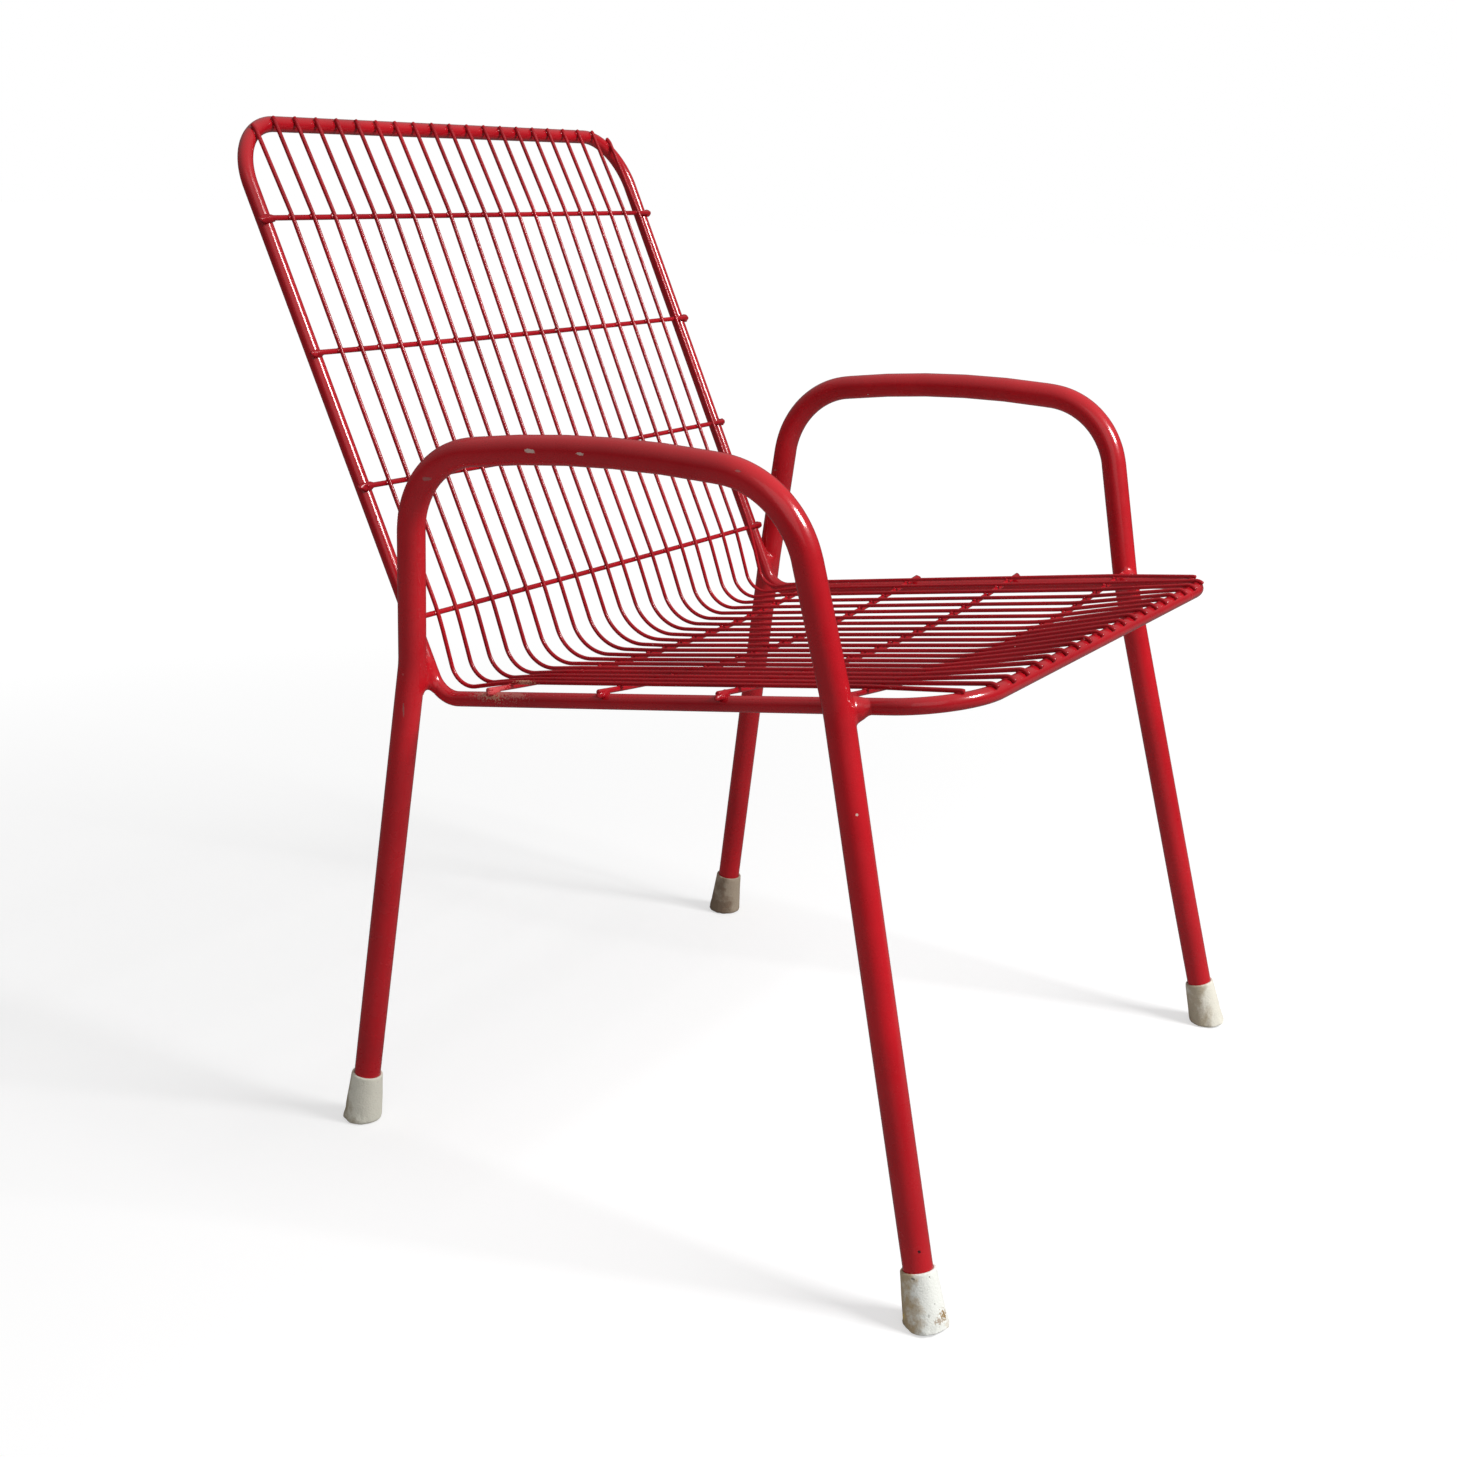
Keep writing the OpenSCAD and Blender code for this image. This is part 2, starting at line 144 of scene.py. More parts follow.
# %% Measures of the wires
CROSS_R, LONG_R = 2.0, 1.6
LONG_WIRES, LONG_SPAN = 21, 500.0
LACQUER = 0.15
FIRST_ON_BACK, BACK_PITCH, FIRST_ON_SEAT, SEAT_PITCH = 82.0, 111, 86.0, 106
BACK_WIRES_AT = [FIRST_ON_BACK + BACK_PITCH * i for i in range(4)]
SEAT_WIRES_AT = [FIRST_ON_SEAT + SEAT_PITCH * i for i in range(4)]
BACK_DISHES = [0.0, 3.0, 6.0, 6.0]
SEAT_DISH = 15.0
CROSS_OVER, SEAT_RIGHT_OVER = 4.0, 8.5
LONG_BEND_R, LONG_BEND_MORE, LONG_KINK_R = 20.0, 24.0, 220.0
CROOK_AHEAD, CROOK_SAG = 2.0, 0.38
FRONT_CURL, LEAST_CURL, FRONT_TIP = 50.0, 8.0, 1.2
TOP_CURL, TOP_TIP, TOP_OBLIQUE = 17.0, 0.3, 12.0
print("long wires every", LONG_SPAN / (LONG_WIRES - 1), "mm")

# %% [markdown]
# ## Centre lines
# A bent tube is straights joined by arcs that touch them. For each corner of a path the
# arc's radius fixes how much of both straights it takes up. A curve object with handles
# would only come near to that, so the points are worked out here and the skin is swept
# along them.

# %% Points of one arc
ARC_STEP, WIRE_ARC_STEP = 2.5, 4.0
STRAIGHT_STEP = 24.0
LEAST_TURN = 1e-3
LEAST_PARTS = 3


def arc_points(corner, radius, before, after, step):
    """Points of the arc that rounds one corner, one every few degrees."""
    turned = acos(max(-1.0, min(1.0, float(before @ after))))
    if radius == 0 or turned < LEAST_TURN:
        return [corner]
    start = corner - before * radius * tan(turned / 2)
    inward = unit(after - before * (before @ after))
    centre = start + inward * radius
    count = max(LEAST_PARTS, ceil(degrees(turned) / step))
    angles = [turned * k / count for k in range(count + 1)]
    return [centre - inward * radius * cos(a) + before * radius * sin(a) for a in angles]


# %% Points of a bent line
def bent_line(corners, radii, closed=False, step=ARC_STEP):
    """Points along a line that runs through straights and arcs."""
    count = len(corners)
    found = []
    for i, corner in enumerate(corners):
        if not closed and i in (0, count - 1):
            found.append(corner)
            continue
        before = unit(corner - corners[i - 1])
        after = unit(corners[(i + 1) % count] - corner)
        found.extend(arc_points(corner, radii[i], before, after, step))
    if closed:
        found.append(found[0])
    line = [found[0]]
    for a, b in zip(found, found[1:]):
        parts = max(1, ceil(norm(b - a) / STRAIGHT_STEP))
        line.extend(a + (b - a) * (k + 1) / parts for k in range(parts))
    return np.array(line[:-1] if closed else line)


# %% Centre line of the loop
loop_corners = [p + ACROSS * HALF_W for p in (FRONT_RAIL, REAR_BEND, TOP_RAIL)]
loop_corners += [p - ACROSS * HALF_W for p in (TOP_RAIL, REAR_BEND, FRONT_RAIL)]
loop_radii = [FRONT_CORNER_R, REAR_BEND_R, TOP_CORNER_R]
loop_radii += loop_radii[::-1]
loop_line = bent_line(loop_corners, loop_radii, closed=True)
print("loop", len(loop_line), "points")

# %% [markdown]
# ### The side frames' line
# Each leg bends at its knee so closely beside the loop that the two tubes can be welded
# there. Where the corner of that bend must lie depends on the bend itself, so it is found
# by a few rounds of correction. The arm is bowed a little: one very wide arc between the
# two arm corners.

# %% Knees of the legs
KNEE_ROUNDS = 6


def knee(joint, along, foot, corner):
    """Corner of a leg's line whose arc lies one tube beside the loop at the joint."""
    spacing = LEG_R + LOOP_R + WELD_GAP
    at = joint + ACROSS * spacing
    for _ in range(KNEE_ROUNDS):
        up, on = unit(at - foot), unit(corner - at)
        swing = acos(float(up @ on))
        inner = unit(on - up) * KNEE_R * (1 / cos(swing / 2) - 1)
        side = unit(np.cross(up + on, along))
        at = joint + side * copysign(spacing, side[0]) - inner
    return at


front_knee = knee(FRONT_JOINT, SEAT_RUN, FRONT_FOOT, ARM_FRONT)
rear_knee = knee(REAR_JOINT, BACK_RUN, REAR_FOOT, ARM_REAR)
print("knees", front_knee.round(1), rear_knee.round(1))

# %% Centre line of a side frame
BOW_SHARE = 0.96
arm_middle = (ARM_FRONT + ARM_REAR) / 2 + np.array([0, 0, ARM_CROWN])
side_corners = [REAR_FOOT, rear_knee, ARM_REAR, arm_middle, ARM_FRONT, front_knee, FRONT_FOOT]


def corner_turn(corners, i):
    before, after = unit(corners[i] - corners[i - 1]), unit(corners[i + 1] - corners[i])
    return acos(float(before @ after))


steepest = max(corner_turn(side_corners, 2), corner_turn(side_corners, 4))
arm_straight = norm(arm_middle - ARM_REAR) - ARM_CORNER_R * tan(steepest / 2)
bow_r = BOW_SHARE * arm_straight / tan(corner_turn(side_corners, 3) / 2)
front_leg_run, rear_leg_run = unit(front_knee - FRONT_FOOT), unit(rear_knee - REAR_FOOT)
side_corners[0] = REAR_FOOT + rear_leg_run * LEG_END
side_corners[-1] = FRONT_FOOT + front_leg_run * LEG_END
side_line = bent_line(side_corners, [0, KNEE_R, ARM_CORNER_R, bow_r, ARM_CORNER_R, KNEE_R, 0])
print("side frame", len(side_line), "points")

# %% [markdown]
# ### The wires' lines
# The cross wires of the seat sag like a hammock, and those of the back bow backward, less
# the higher they are. The long wires lie on them. So each long wire's height over the
# loop follows from its place across, and no wire has to be drawn by hand.

# %% Heights of the wires over the loop
def arc_radius(dish):
    return (HALF_W ** 2 + dish ** 2) / (2 * dish)


def arc_slope(dish, x):
    return asin(x / arc_radius(dish)) if dish else 0.0


def cross_height(dish, x):
    """Height of a cross wire's centre over the loop's plane."""
    ends = (LOOP_R + CROSS_R + WELD_GAP) / cos(arc_slope(dish, HALF_W))
    if dish == 0:
        return ends
    return ends - dish + arc_radius(dish) * (1 - cos(arc_slope(dish, x)))


def long_height(dish, x):
    """Height of a long wire's centre where it lies on a cross wire."""
    return cross_height(dish, x) + (CROSS_R + LONG_R + WELD_GAP) / cos(arc_slope(dish, x))


print("seat wires' middle", round(cross_height(SEAT_DISH, 0), 2), "mm over the loop's plane")

# %% Places over the seat and the back
def over_back(down, height, x):
    return TOP_RAIL - BACK_RUN * down + BACK_OUT * height + ACROSS * x


def over_seat(behind, height, x):
    return FRONT_RAIL + SEAT_RUN * behind + SEAT_UP * height + ACROSS * x


def over_corner(over_the_seat, before_the_back, x):
    """Point at given heights over the planes of the seat and the back."""
    lean = float(SEAT_UP @ BACK_OUT)
    up = (over_the_seat - lean * before_the_back) / (1 - lean ** 2)
    out = (before_the_back - lean * over_the_seat) / (1 - lean ** 2)
    return REAR_BEND + SEAT_UP * up + BACK_OUT * out + ACROSS * x


print("corner between seat and back at", over_corner(0, 0, 0).round(1))

# %% Where a wire meets the rails
LIFT = LOOP_R + LONG_R + WELD_GAP


def corner_skew(radius, x):
    """How far round a corner of the loop a wire meets the tube."""
    return asin(max(0.0, abs(x) - HALF_W + radius) / radius)


def corner_drop(radius, x):
    """How far the tube has left the rail's line there."""
    return radius * (1 - cos(corner_skew(radius, x)))


# %% Top end of a long wire
def top_end(x, on_rail, first_on_back):
    """Tip and corner of the curl over the top rail, and its radius."""
    run = unit(on_rail - first_on_back)
    out = np.array([0, -run[2], run[1]])
    oblique = 1 / cos(corner_skew(TOP_CORNER_R, x))
    radius = LIFT * oblique ** 2
    curl = radians(TOP_CURL)
    cut = radius * tan(curl / 2)
    corner = on_rail + run * cut
    end = cut + TOP_TIP + TOP_OBLIQUE * (oblique - 1)
    tip = corner + (run * cos(curl) - out * sin(curl)) * end
    return tip, corner, radius


# %% Front end of a long wire
def front_end(x, last_on_seat):
    """Tip and corner of the curl round the front rail, and its radius."""
    skew = corner_skew(FRONT_CORNER_R, x)
    radius = LIFT / cos(skew) ** 2
    centre = over_seat(corner_drop(FRONT_CORNER_R, x), LIFT - radius, x)
    to_rail = centre - last_on_seat
    reach = norm(to_rail)
    rise = asin(radius / reach)
    ahead = unit(to_rail)
    above = np.array([0, ahead[2], -ahead[1]])
    run_in = ahead * cos(rise) + above * sin(rise)
    above_in = above * cos(rise) - ahead * sin(rise)
    curl = radians(max(FRONT_CURL - degrees(skew), LEAST_CURL))
    run_out = run_in * cos(curl) - above_in * sin(curl)
    cut = radius * tan(curl / 2)
    corner = last_on_seat + run_in * (sqrt(reach ** 2 - radius ** 2) + cut)
    tip = corner + run_out * (cut + FRONT_TIP)
    return tip, corner, radius


# %% Centre lines of the long wires
def long_wire_line(x):
    """Line of one long wire, and its places on the rails and the cross wires."""
    top = over_back(corner_drop(TOP_CORNER_R, x), LIFT, x)
    on_back = [over_back(d, long_height(dish, x), x) for d, dish in zip(BACK_WIRES_AT, BACK_DISHES)]
    on_seat = [over_seat(d, long_height(SEAT_DISH, x), x) for d in reversed(SEAT_WIRES_AT)]
    front = over_seat(corner_drop(FRONT_CORNER_R, x), LIFT, x)
    top_tip, top_corner, top_r = top_end(x, top, on_back[0])
    front_tip, front_corner, front_r = front_end(x, on_seat[-1])
    crook = over_corner(long_height(SEAT_DISH, x) * CROOK_SAG, CROOK_AHEAD, x)
    crook_r = LONG_BEND_R + LONG_BEND_MORE * (1 - abs(x) * 2 / LONG_SPAN)
    corners = [top_tip, top_corner, *on_back, crook, *on_seat, front_corner, front_tip]
    kinks = [LONG_KINK_R] * len(on_back)
    radii = [0, top_r, *kinks, crook_r, *kinks, front_r, 0]
    line = bent_line(corners, radii, step=WIRE_ARC_STEP)
    return {"line": line, "top": top, "back": on_back, "seat": on_seat, "front": front}


long_x = [-LONG_SPAN / 2 + LONG_SPAN / (LONG_WIRES - 1) * i for i in range(LONG_WIRES)]
long_wires = [long_wire_line(x) for x in long_x]
print("long wires", len(long_wires), "points in one", len(long_wires[LONG_WIRES // 2]["line"]))

# %% Centre lines of the cross wires
CROSS_POINTS = 61


def cross_wire_line(over, at, dish, right_over=CROSS_OVER):
    places = np.linspace(-HALF_W - right_over, HALF_W + CROSS_OVER, CROSS_POINTS)
    return np.array([over(at, cross_height(dish, x), x) for x in places])


back_lines = [cross_wire_line(over_back, d, dish) for d, dish in zip(BACK_WIRES_AT, BACK_DISHES)]
seat_lines = [cross_wire_line(over_seat, d, SEAT_DISH, SEAT_RIGHT_OVER) for d in SEAT_WIRES_AT]
print("cross wires", len(back_lines), "in the back", len(seat_lines), "in the seat")

# %% [markdown]
# ## Skins
# A sweep carries a ring of points along a centre line. Turning the ring as little as
# possible from point to point keeps it from twisting; on a closed loop what twist is left
# is shared out along the way. Bent tube is never quite round: it flattens a little on
# the outside of a tight bend, so rings are squeezed by the bend's sharpness.

# %% Ring frames along a line
NEARLY_ACROSS = 0.9


def along_frames(line, closed):
    """Tangents and two square directions at each point of a line."""
    if closed:
        ahead = np.roll(line, -1, 0) - line
    else:
        ahead = np.vstack([line[1:] - line[:-1], line[-1:] - line[-2:-1]])
    behind = np.roll(ahead, 1, 0)
    if not closed:
        behind[0] = ahead[0]
    tangents = np.array([unit(a / norm(a) + b / norm(b)) for a, b in zip(ahead, behind)])
    helper = ACROSS if abs(tangents[0][0]) < NEARLY_ACROSS else np.array([0, 0, 1.0])
    normals = [unit(np.cross(tangents[0], helper))]
    for t in tangents[1:]:
        normals.append(unit(normals[-1] - t * (normals[-1] @ t)))
    normals = np.array(normals)
    if closed:
        last = unit(normals[-1] - tangents[0] * (normals[-1] @ tangents[0]))
        twist = atan2(float(np.cross(last, normals[0]) @ tangents[0]), float(last @ normals[0]))
        shares = twist * np.arange(len(line))[:, None] / len(line)
        normals = normals * np.cos(shares) + np.cross(tangents, normals) * np.sin(shares)
    return tangents, normals, np.cross(tangents, normals)


# %% Mesh helper
def mesh_piece(name, points, faces):
    """An object in the frame's metres from points in the chair's millimetres."""
    mesh = bpy.data.meshes.new(name)
    in_frame = (np.array(points) - [0, MIDDLE_Y, 0]) * MM
    mesh.from_pydata(in_frame.tolist(), [], faces)
    mesh.polygons.foreach_set("use_smooth", [True] * len(mesh.polygons))
    mesh.update()
    piece = bpy.data.objects.new(name, mesh)
    scene.collection.objects.link(piece)
    return piece


# %% Faces between rings of points
def ring_faces(rings, sides, closed=False):
    faces = []
    for i in range(rings if closed else rings - 1):
        one, two = i * sides, (i + 1) % rings * sides
        for k in range(sides):
            m = (k + 1) % sides
            faces.append((one + k, one + m, two + m, two + k))
    return faces


# %% Sweep helper
END_BULGE = 0.55
END_BENDS = (28, 55, 80)


def swept(line, radii, sides, closed=False, round_ends=True):
    """Points and faces of a skin round a line, with rounded or flat ends."""
    tangents, normals, binormals = along_frames(line, closed)
    radii = np.broadcast_to(radii, len(line)).astype(float)
    angles = np.arange(sides) * 2 * pi / sides
    rings = []

    def ring(i, radius, shift):
        spokes = normals[i] * np.cos(angles)[:, None] + binormals[i] * np.sin(angles)[:, None]
        rings.append(line[i] + tangents[i] * shift + spokes * radius)

    def end_ring(i, bend, way):
        a = radians(bend)
        ring(i, radii[i] * cos(a), way * END_BULGE * radii[i] * sin(a))

    if round_ends and not closed:
        for bend in reversed(END_BENDS):
            end_ring(0, bend, -1)
    for i in range(len(line)):
        ring(i, radii[i], 0)
    if round_ends and not closed:
        for bend in END_BENDS:
            end_ring(-1, bend, 1)
    faces = ring_faces(len(rings), sides, closed)
    if not closed:
        faces.append(tuple(range(sides))[::-1])
        faces.append(tuple(range((len(rings) - 1) * sides, len(rings) * sides)))
    return np.vstack(rings), faces


# %% Riding on the frame
def belongs(piece, slot, *nodes):
    """The piece moves with the chair and stands for construction nodes."""
    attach(piece, "root")
    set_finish(piece, slot)
    if nodes:
        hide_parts(*nodes)
    return piece


# %% [markdown]
# ## The two side frames
# One tube makes the front leg, the arm and the rear leg. Its corners were pulled round a
# former, which leaves the tube a hair narrower across the outside of each bend. The ends
# are cut flat: they stand inside the ferrules.

# %% Side frames
BEND_SQUEEZE = 0.012
TUBE_SIDES = 56
side_tangents = along_frames(side_line, False)[0]
sharpness = np.zeros(len(side_line))
for i in range(1, len(side_line) - 1):
    step = norm(side_line[i + 1] - side_line[i - 1]) / 2
    swing = acos(min(1.0, float(side_tangents[i + 1] @ side_tangents[i - 1]))) / 2
    sharpness[i] = swing / step * ARM_CORNER_R
side_radii = LEG_R * (1 - BEND_SQUEEZE * np.clip(sharpness, 0, 1)) + LACQUER
for side, sign in SIDES:
    points, faces = swept(side_line * [sign, 1, 1], side_radii, TUBE_SIDES, round_ends=False)
    name = f"side_frame_{side}"
    belongs(mesh_piece(name + "_tube", points, faces), "frame_lacquer", name)
    print(name, len(points), "points")

# %% [markdown]
# ## The seat and back loop
# The thinner tube is closed on itself. Its six bends are tighter against its width than
# the arms', but it keeps its round section well enough.

# %% Loop
LOOP_SIDES = 40
points, faces = swept(loop_line, LOOP_R + LACQUER, LOOP_SIDES, closed=True)
belongs(mesh_piece("seat_back_frame_tube", points, faces), "loop_lacquer", "seat_back_frame")
print("loop", len(points), "points")

# %% [markdown]
# ## The wires
# Wire from a coil is never dead straight. Each long wire wanders sideways by a few tenths
# of a millimetre, which breaks up the too perfect rhythm of copied wires and keeps it
# lying on the cross wires. The lacquer's thickness goes on every tube and wire: on a thin
# wire it can be seen.

# %% Long wires
WANDER, WANDER_PHASES, WANDER_PACES = 0.45, (0, 6.28), (0.011, 0.017)
LONG_SIDES, SEED = 16, 21
rng = random.Random(SEED)
for i, wire in enumerate(long_wires):
    line = wire["line"]
    phase, pace = rng.uniform(*WANDER_PHASES), rng.uniform(*WANDER_PACES)
    travelled = np.concatenate([[0], np.cumsum(norm(np.diff(line, axis=0), axis=1))])
    held = np.sin(pi * travelled / travelled[-1])
    wander = WANDER * np.sin(phase + pace * travelled) * held
    points, faces = swept(line + wander[:, None] * ACROSS, LONG_R + LACQUER, LONG_SIDES)
    name = f"long_wire_{i + 1:02d}"
    belongs(mesh_piece(name + "_wire", points, faces), "wire_lacquer", name)
print("long wires", len(long_wires))

# %% Cross wires
CROSS_SIDES = 20
for place, lines in (("back", back_lines), ("seat", seat_lines)):
    for i, line in enumerate(lines):
        points, faces = swept(line, CROSS_R + LACQUER, CROSS_SIDES)
        name = f"{place}_cross_wire_{i + 1}"
        belongs(mesh_piece(name + "_wire", points, faces), "wire_lacquer", name)
print("cross wires", len(back_lines) + len(seat_lines))

# %% [markdown]
# ## The small welds
# Wire lattices are welded by pressing two wires together under current: the metal
# squeezes out into a small web on either side of the upper wire. Each is a flattened
# lump between the two wires, roughened by noise so that no two are alike. A row of them
# is one piece.

# %% Weld lump helper
LUMP_GRAIN, LUMP_SEED_STEP, LUMP_SEED_SLANT = 1.7, 3.1, 0.37
LUMP_RINGS, LUMP_SIDES = 12, 16


def lump(centre, axes, sizes, roughness, seed):
    """Points and faces of a rounded, slightly uneven lump."""
    points = []
    shift = Vector((seed, LUMP_SEED_SLANT * seed, 0))
    for i in range(LUMP_RINGS + 1):
        tilt = pi * i / LUMP_RINGS
        for k in range(LUMP_SIDES):
            heading = 2 * pi * k / LUMP_SIDES
            out = (sin(tilt) * cos(heading), sin(tilt) * sin(heading), cos(tilt))
            bump = 1 + roughness * noise.noise(Vector(out) * LUMP_GRAIN + shift)
            points.append(centre + sum(axes[j] * (out[j] * sizes[j] * bump) for j in range(3)))
    return points, [(a, d, c, b) for a, b, c, d in ring_faces(LUMP_RINGS + 1, LUMP_SIDES)]


def lumps_piece(name, places, sizes, roughness):
    """One piece of many lumps; each place is a centre with its three axes."""
    points, faces = [], []
    for number, (centre, axes, scale) in enumerate(places):
        scaled = [s * scale for s in sizes]
        more, rings = lump(centre, axes, scaled, roughness, number * LUMP_SEED_STEP)
        faces.extend(tuple(len(points) + v for v in f) for f in rings)
        points.extend(more)
    belongs(mesh_piece(name, points, faces), "wire_lacquer")


# %% Welds at the crossings
CROSSING_WELD, TOP_WELD, FRONT_WELD = (3.0, 2.2, 1.3), (2.3, 2.6, 0.9), (2.4, 3.0, 1.0)
WELD_SPREAD, WELD_ROUGH = (0.85, 1.15), 0.3
back_axes = (ACROSS, BACK_RUN, BACK_OUT)
seat_axes = (ACROSS, SEAT_RUN, SEAT_UP)


def under_wires(places, axes):
    """Weld places just under the long wires, each with a size of its own."""
    return [(place - axes[2] * LONG_R, axes, rng.uniform(*WELD_SPREAD)) for place in places]


rows = []
for i in range(4):
    for part, k, axes in (("back", i, back_axes), ("seat", 3 - i, seat_axes)):
        crossed = [w[part][k] for w in long_wires]
        rows.append((f"{part}_cross_wire_{i + 1}", crossed, axes, CROSSING_WELD))
rows.append(("top_rail", [w["top"] for w in long_wires], back_axes, TOP_WELD))
rows.append(("front_rail", [w["front"] for w in long_wires], seat_axes, FRONT_WELD))
for name, places, axes, sizes in rows:
    lumps_piece(name + "_welds", under_wires(places, axes), sizes, WELD_ROUGH)
print("rows of welds", len(rows))

# %% Welds at the ends of the cross wires
NEAR_WELD, FAR_WELD = (9.5, 3.2, 3.3), (4.6, 3.5, 3.1)
NEAR_WELD_IN, FAR_WELD_OUT = -2.5, 3.2
END_WELD_SUNK, END_WELD_SPREAD, END_WELD_ROUGH = 0.75, (0.9, 1.1), 0.25
near_welds, far_welds = [], []
for over, axes, places, dishes in (
    (over_back, back_axes, BACK_WIRES_AT, BACK_DISHES),
    (over_seat, seat_axes, SEAT_WIRES_AT, [SEAT_DISH] * 4),
):
    for at, dish in zip(places, dishes):
        height = cross_height(dish, HALF_W) - CROSS_R * END_WELD_SUNK
        near = over(at, height, NEAR_WELD_IN - HALF_W)
        near_welds.append((near, axes, rng.uniform(*END_WELD_SPREAD)))
        far = over(at, height, HALF_W + FAR_WELD_OUT)
        far_welds.append((far, axes, rng.uniform(*END_WELD_SPREAD)))
lumps_piece("cross_wire_right_welds", near_welds, NEAR_WELD, END_WELD_ROUGH)
lumps_piece("cross_wire_left_welds", far_welds, FAR_WELD, END_WELD_ROUGH)
print("welds at the ends", len(near_welds) + len(far_welds))

# %% [markdown]
# ## The four leg joints
# A leg leans against the loop, and weld metal fills the groove between the two tubes as
# one smooth web. The shape is easiest to say as a field: the distances to the leg and to
# the loop, blended where the two are nearly equal. Where the blended distance is zero
# lies the skin of the weld. The tubes' lacquer covers the rest of that skin, so only the
# web comes out between them.

# %% Points on the skin of a field
def zero_points(field):
    """For each grid cell that the surface crosses, the middle of its crossings."""
    size = np.array(field.shape) - 1
    total, crossings = np.zeros((*size, 3)), np.zeros(size)

    def at_corner(c):
        return field[c[0]:c[0] + size[0], c[1]:c[1] + size[1], c[2]:c[2] + size[2]]

    for start in np.ndindex(2, 2, 2):
        for axis in range(3):
            if start[axis]:
                continue
            end = tuple(1 if d == axis else c for d, c in enumerate(start))
            a, b = at_corner(start), at_corner(end)
            crossed = (a < 0) != (b < 0)
            share = np.where(crossed, a / np.where(crossed, a - b, 1.0), 0)
            for d in range(3):
                total[..., d] += np.where(crossed, start[d] + (share if d == axis else 0), 0)
            crossings += crossed
    used = crossings > 0
    return used, np.argwhere(used) + total[used] / crossings[used][:, None]


# %% Skin of a field
def skin_of(field, low, step):
    """Points and faces of the zero surface of values on a grid."""
    size = np.array(field.shape) - 1
    used, cells = zero_points(field)
    number = np.full(size, -1)
    number[used] = np.arange(used.sum())
    axes = np.eye(3, dtype=int)
    inside = field[:-1, :-1, :-1] < 0
    faces = []
    for axis in range(3):
        ahead, one, two = axes[axis], axes[(axis + 1) % 3], axes[(axis + 2) % 3]
        next_inside = np.roll(field, -1, axis)[:-1, :-1, :-1] < 0
        for p in np.argwhere(inside != next_inside):
            if min(p - one - two) < 0 or max(p + ahead - size) > 0:
                continue
            ring = [int(number[tuple(q)]) for q in (p, p - one, p - one - two, p - two)]
            faces.append(ring if field[tuple(p)] > 0 else ring[::-1])
    return low + step * cells, faces


# %% Blended distances
FAR_AWAY = 9


def near_line(points, line, around, reach):
    """Distance from each point to the part of a line near a place."""
    best = np.full(len(points), reach * FAR_AWAY)
    for a, b in zip(line, line[1:]):
        if min(norm(a - around), norm(b - around)) > reach + STRAIGHT_STEP:
            continue
        share = np.clip((points - a) @ (b - a) / ((b - a) @ (b - a)), 0, 1)
        best = np.minimum(best, norm(points - a - share[:, None] * (b - a), axis=1))
    return best


def blended(a, b, width):
    return np.minimum(a, b) - np.maximum(width - np.abs(a - b), 0) ** 2 / width / 4


# %% Field of a leg joint
WEB_REACH, WEB_STEP = 30.0, 0.9
WEB_WIDE, WEB_SLIM, WEB_CHANGE = 12.5, 2.5, 8.0
WEB_ROUGH, ROUGH_GRAIN, ROUGH_FULL = 0.35, 0.16, 2
FRONT_LUMP, FRONT_LUMP_AT, LUMP_BLEND = (6.5, 9.5, 8.5), (6.5, -1.5), 4.5
closed_loop = np.vstack([loop_line, loop_line[:1]])


def joint_web(end, middle, along, mirror):
    """Skin of the weld metal round one leg joint, wider on the side it was laid from."""
    low = middle - WEB_REACH
    count = int(2 * WEB_REACH / WEB_STEP) + 1
    cells = np.stack(np.meshgrid(*[np.arange(count)] * 3, indexing="ij"), -1).reshape(-1, 3)
    grid = low + WEB_STEP * cells
    to_leg = near_line(grid, side_line * mirror, middle, WEB_REACH * 2) - LEG_R
    to_loop = near_line(grid, closed_loop * mirror, middle, WEB_REACH * 2) - LOOP_R
    onward = np.clip(((grid - middle) @ along + WEB_CHANGE / 2) / WEB_CHANGE, 0, 1)
    web = blended(to_leg, to_loop, WEB_SLIM + (WEB_WIDE - WEB_SLIM) * onward)
    if end == "front":
        heart = middle + along * FRONT_LUMP_AT[0] + SEAT_UP * FRONT_LUMP_AT[1]
        axes = np.array([ACROSS, SEAT_RUN, SEAT_UP]).T
        squeezed = norm((grid - heart) @ axes / FRONT_LUMP, axis=1)
        web = blended(web, (squeezed - 1) * FRONT_LUMP[0], LUMP_BLEND)
    rough = np.zeros(len(grid))
    for i in np.flatnonzero(np.abs(web) < 2 * WEB_STEP):
        rough[i] = WEB_ROUGH * noise.noise(Vector(grid[i]) * ROUGH_GRAIN)
    grown = np.clip((np.minimum(to_leg, to_loop) - web) / ROUGH_FULL, 0, 1)
    bound = norm(grid - middle, axis=1) - WEB_REACH + 2 * WEB_STEP
    field = np.maximum(web + rough * grown, bound).reshape(count, count, count)
    return skin_of(field, low, WEB_STEP)


# %% Leg joint webs
for end, joint, along in (("front", FRONT_JOINT, -SEAT_RUN), ("rear", REAR_JOINT, -BACK_RUN)):
    for side, sign in SIDES:
        mirror = np.array([sign, 1, 1])
        points, faces = joint_web(end, (joint + ACROSS * LOOP_R) * mirror, along, mirror)
        name = f"weld_{end}_{side}"
        belongs(mesh_piece(name + "_web", points, faces), "frame_lacquer", name)
        print(name, len(points), "points")

# %% [markdown]
# ## The rubber ferrules
# Each ferrule is a cup round the leg, wider at the foot. Years of scraping have rounded
# and torn its lower edge. The cup is a profile turned round the leg's line, and noise
# moves the points near the floor more than those near the mouth. What falls under the
# floor is laid flat on it, and the edge round that flat is worn round.

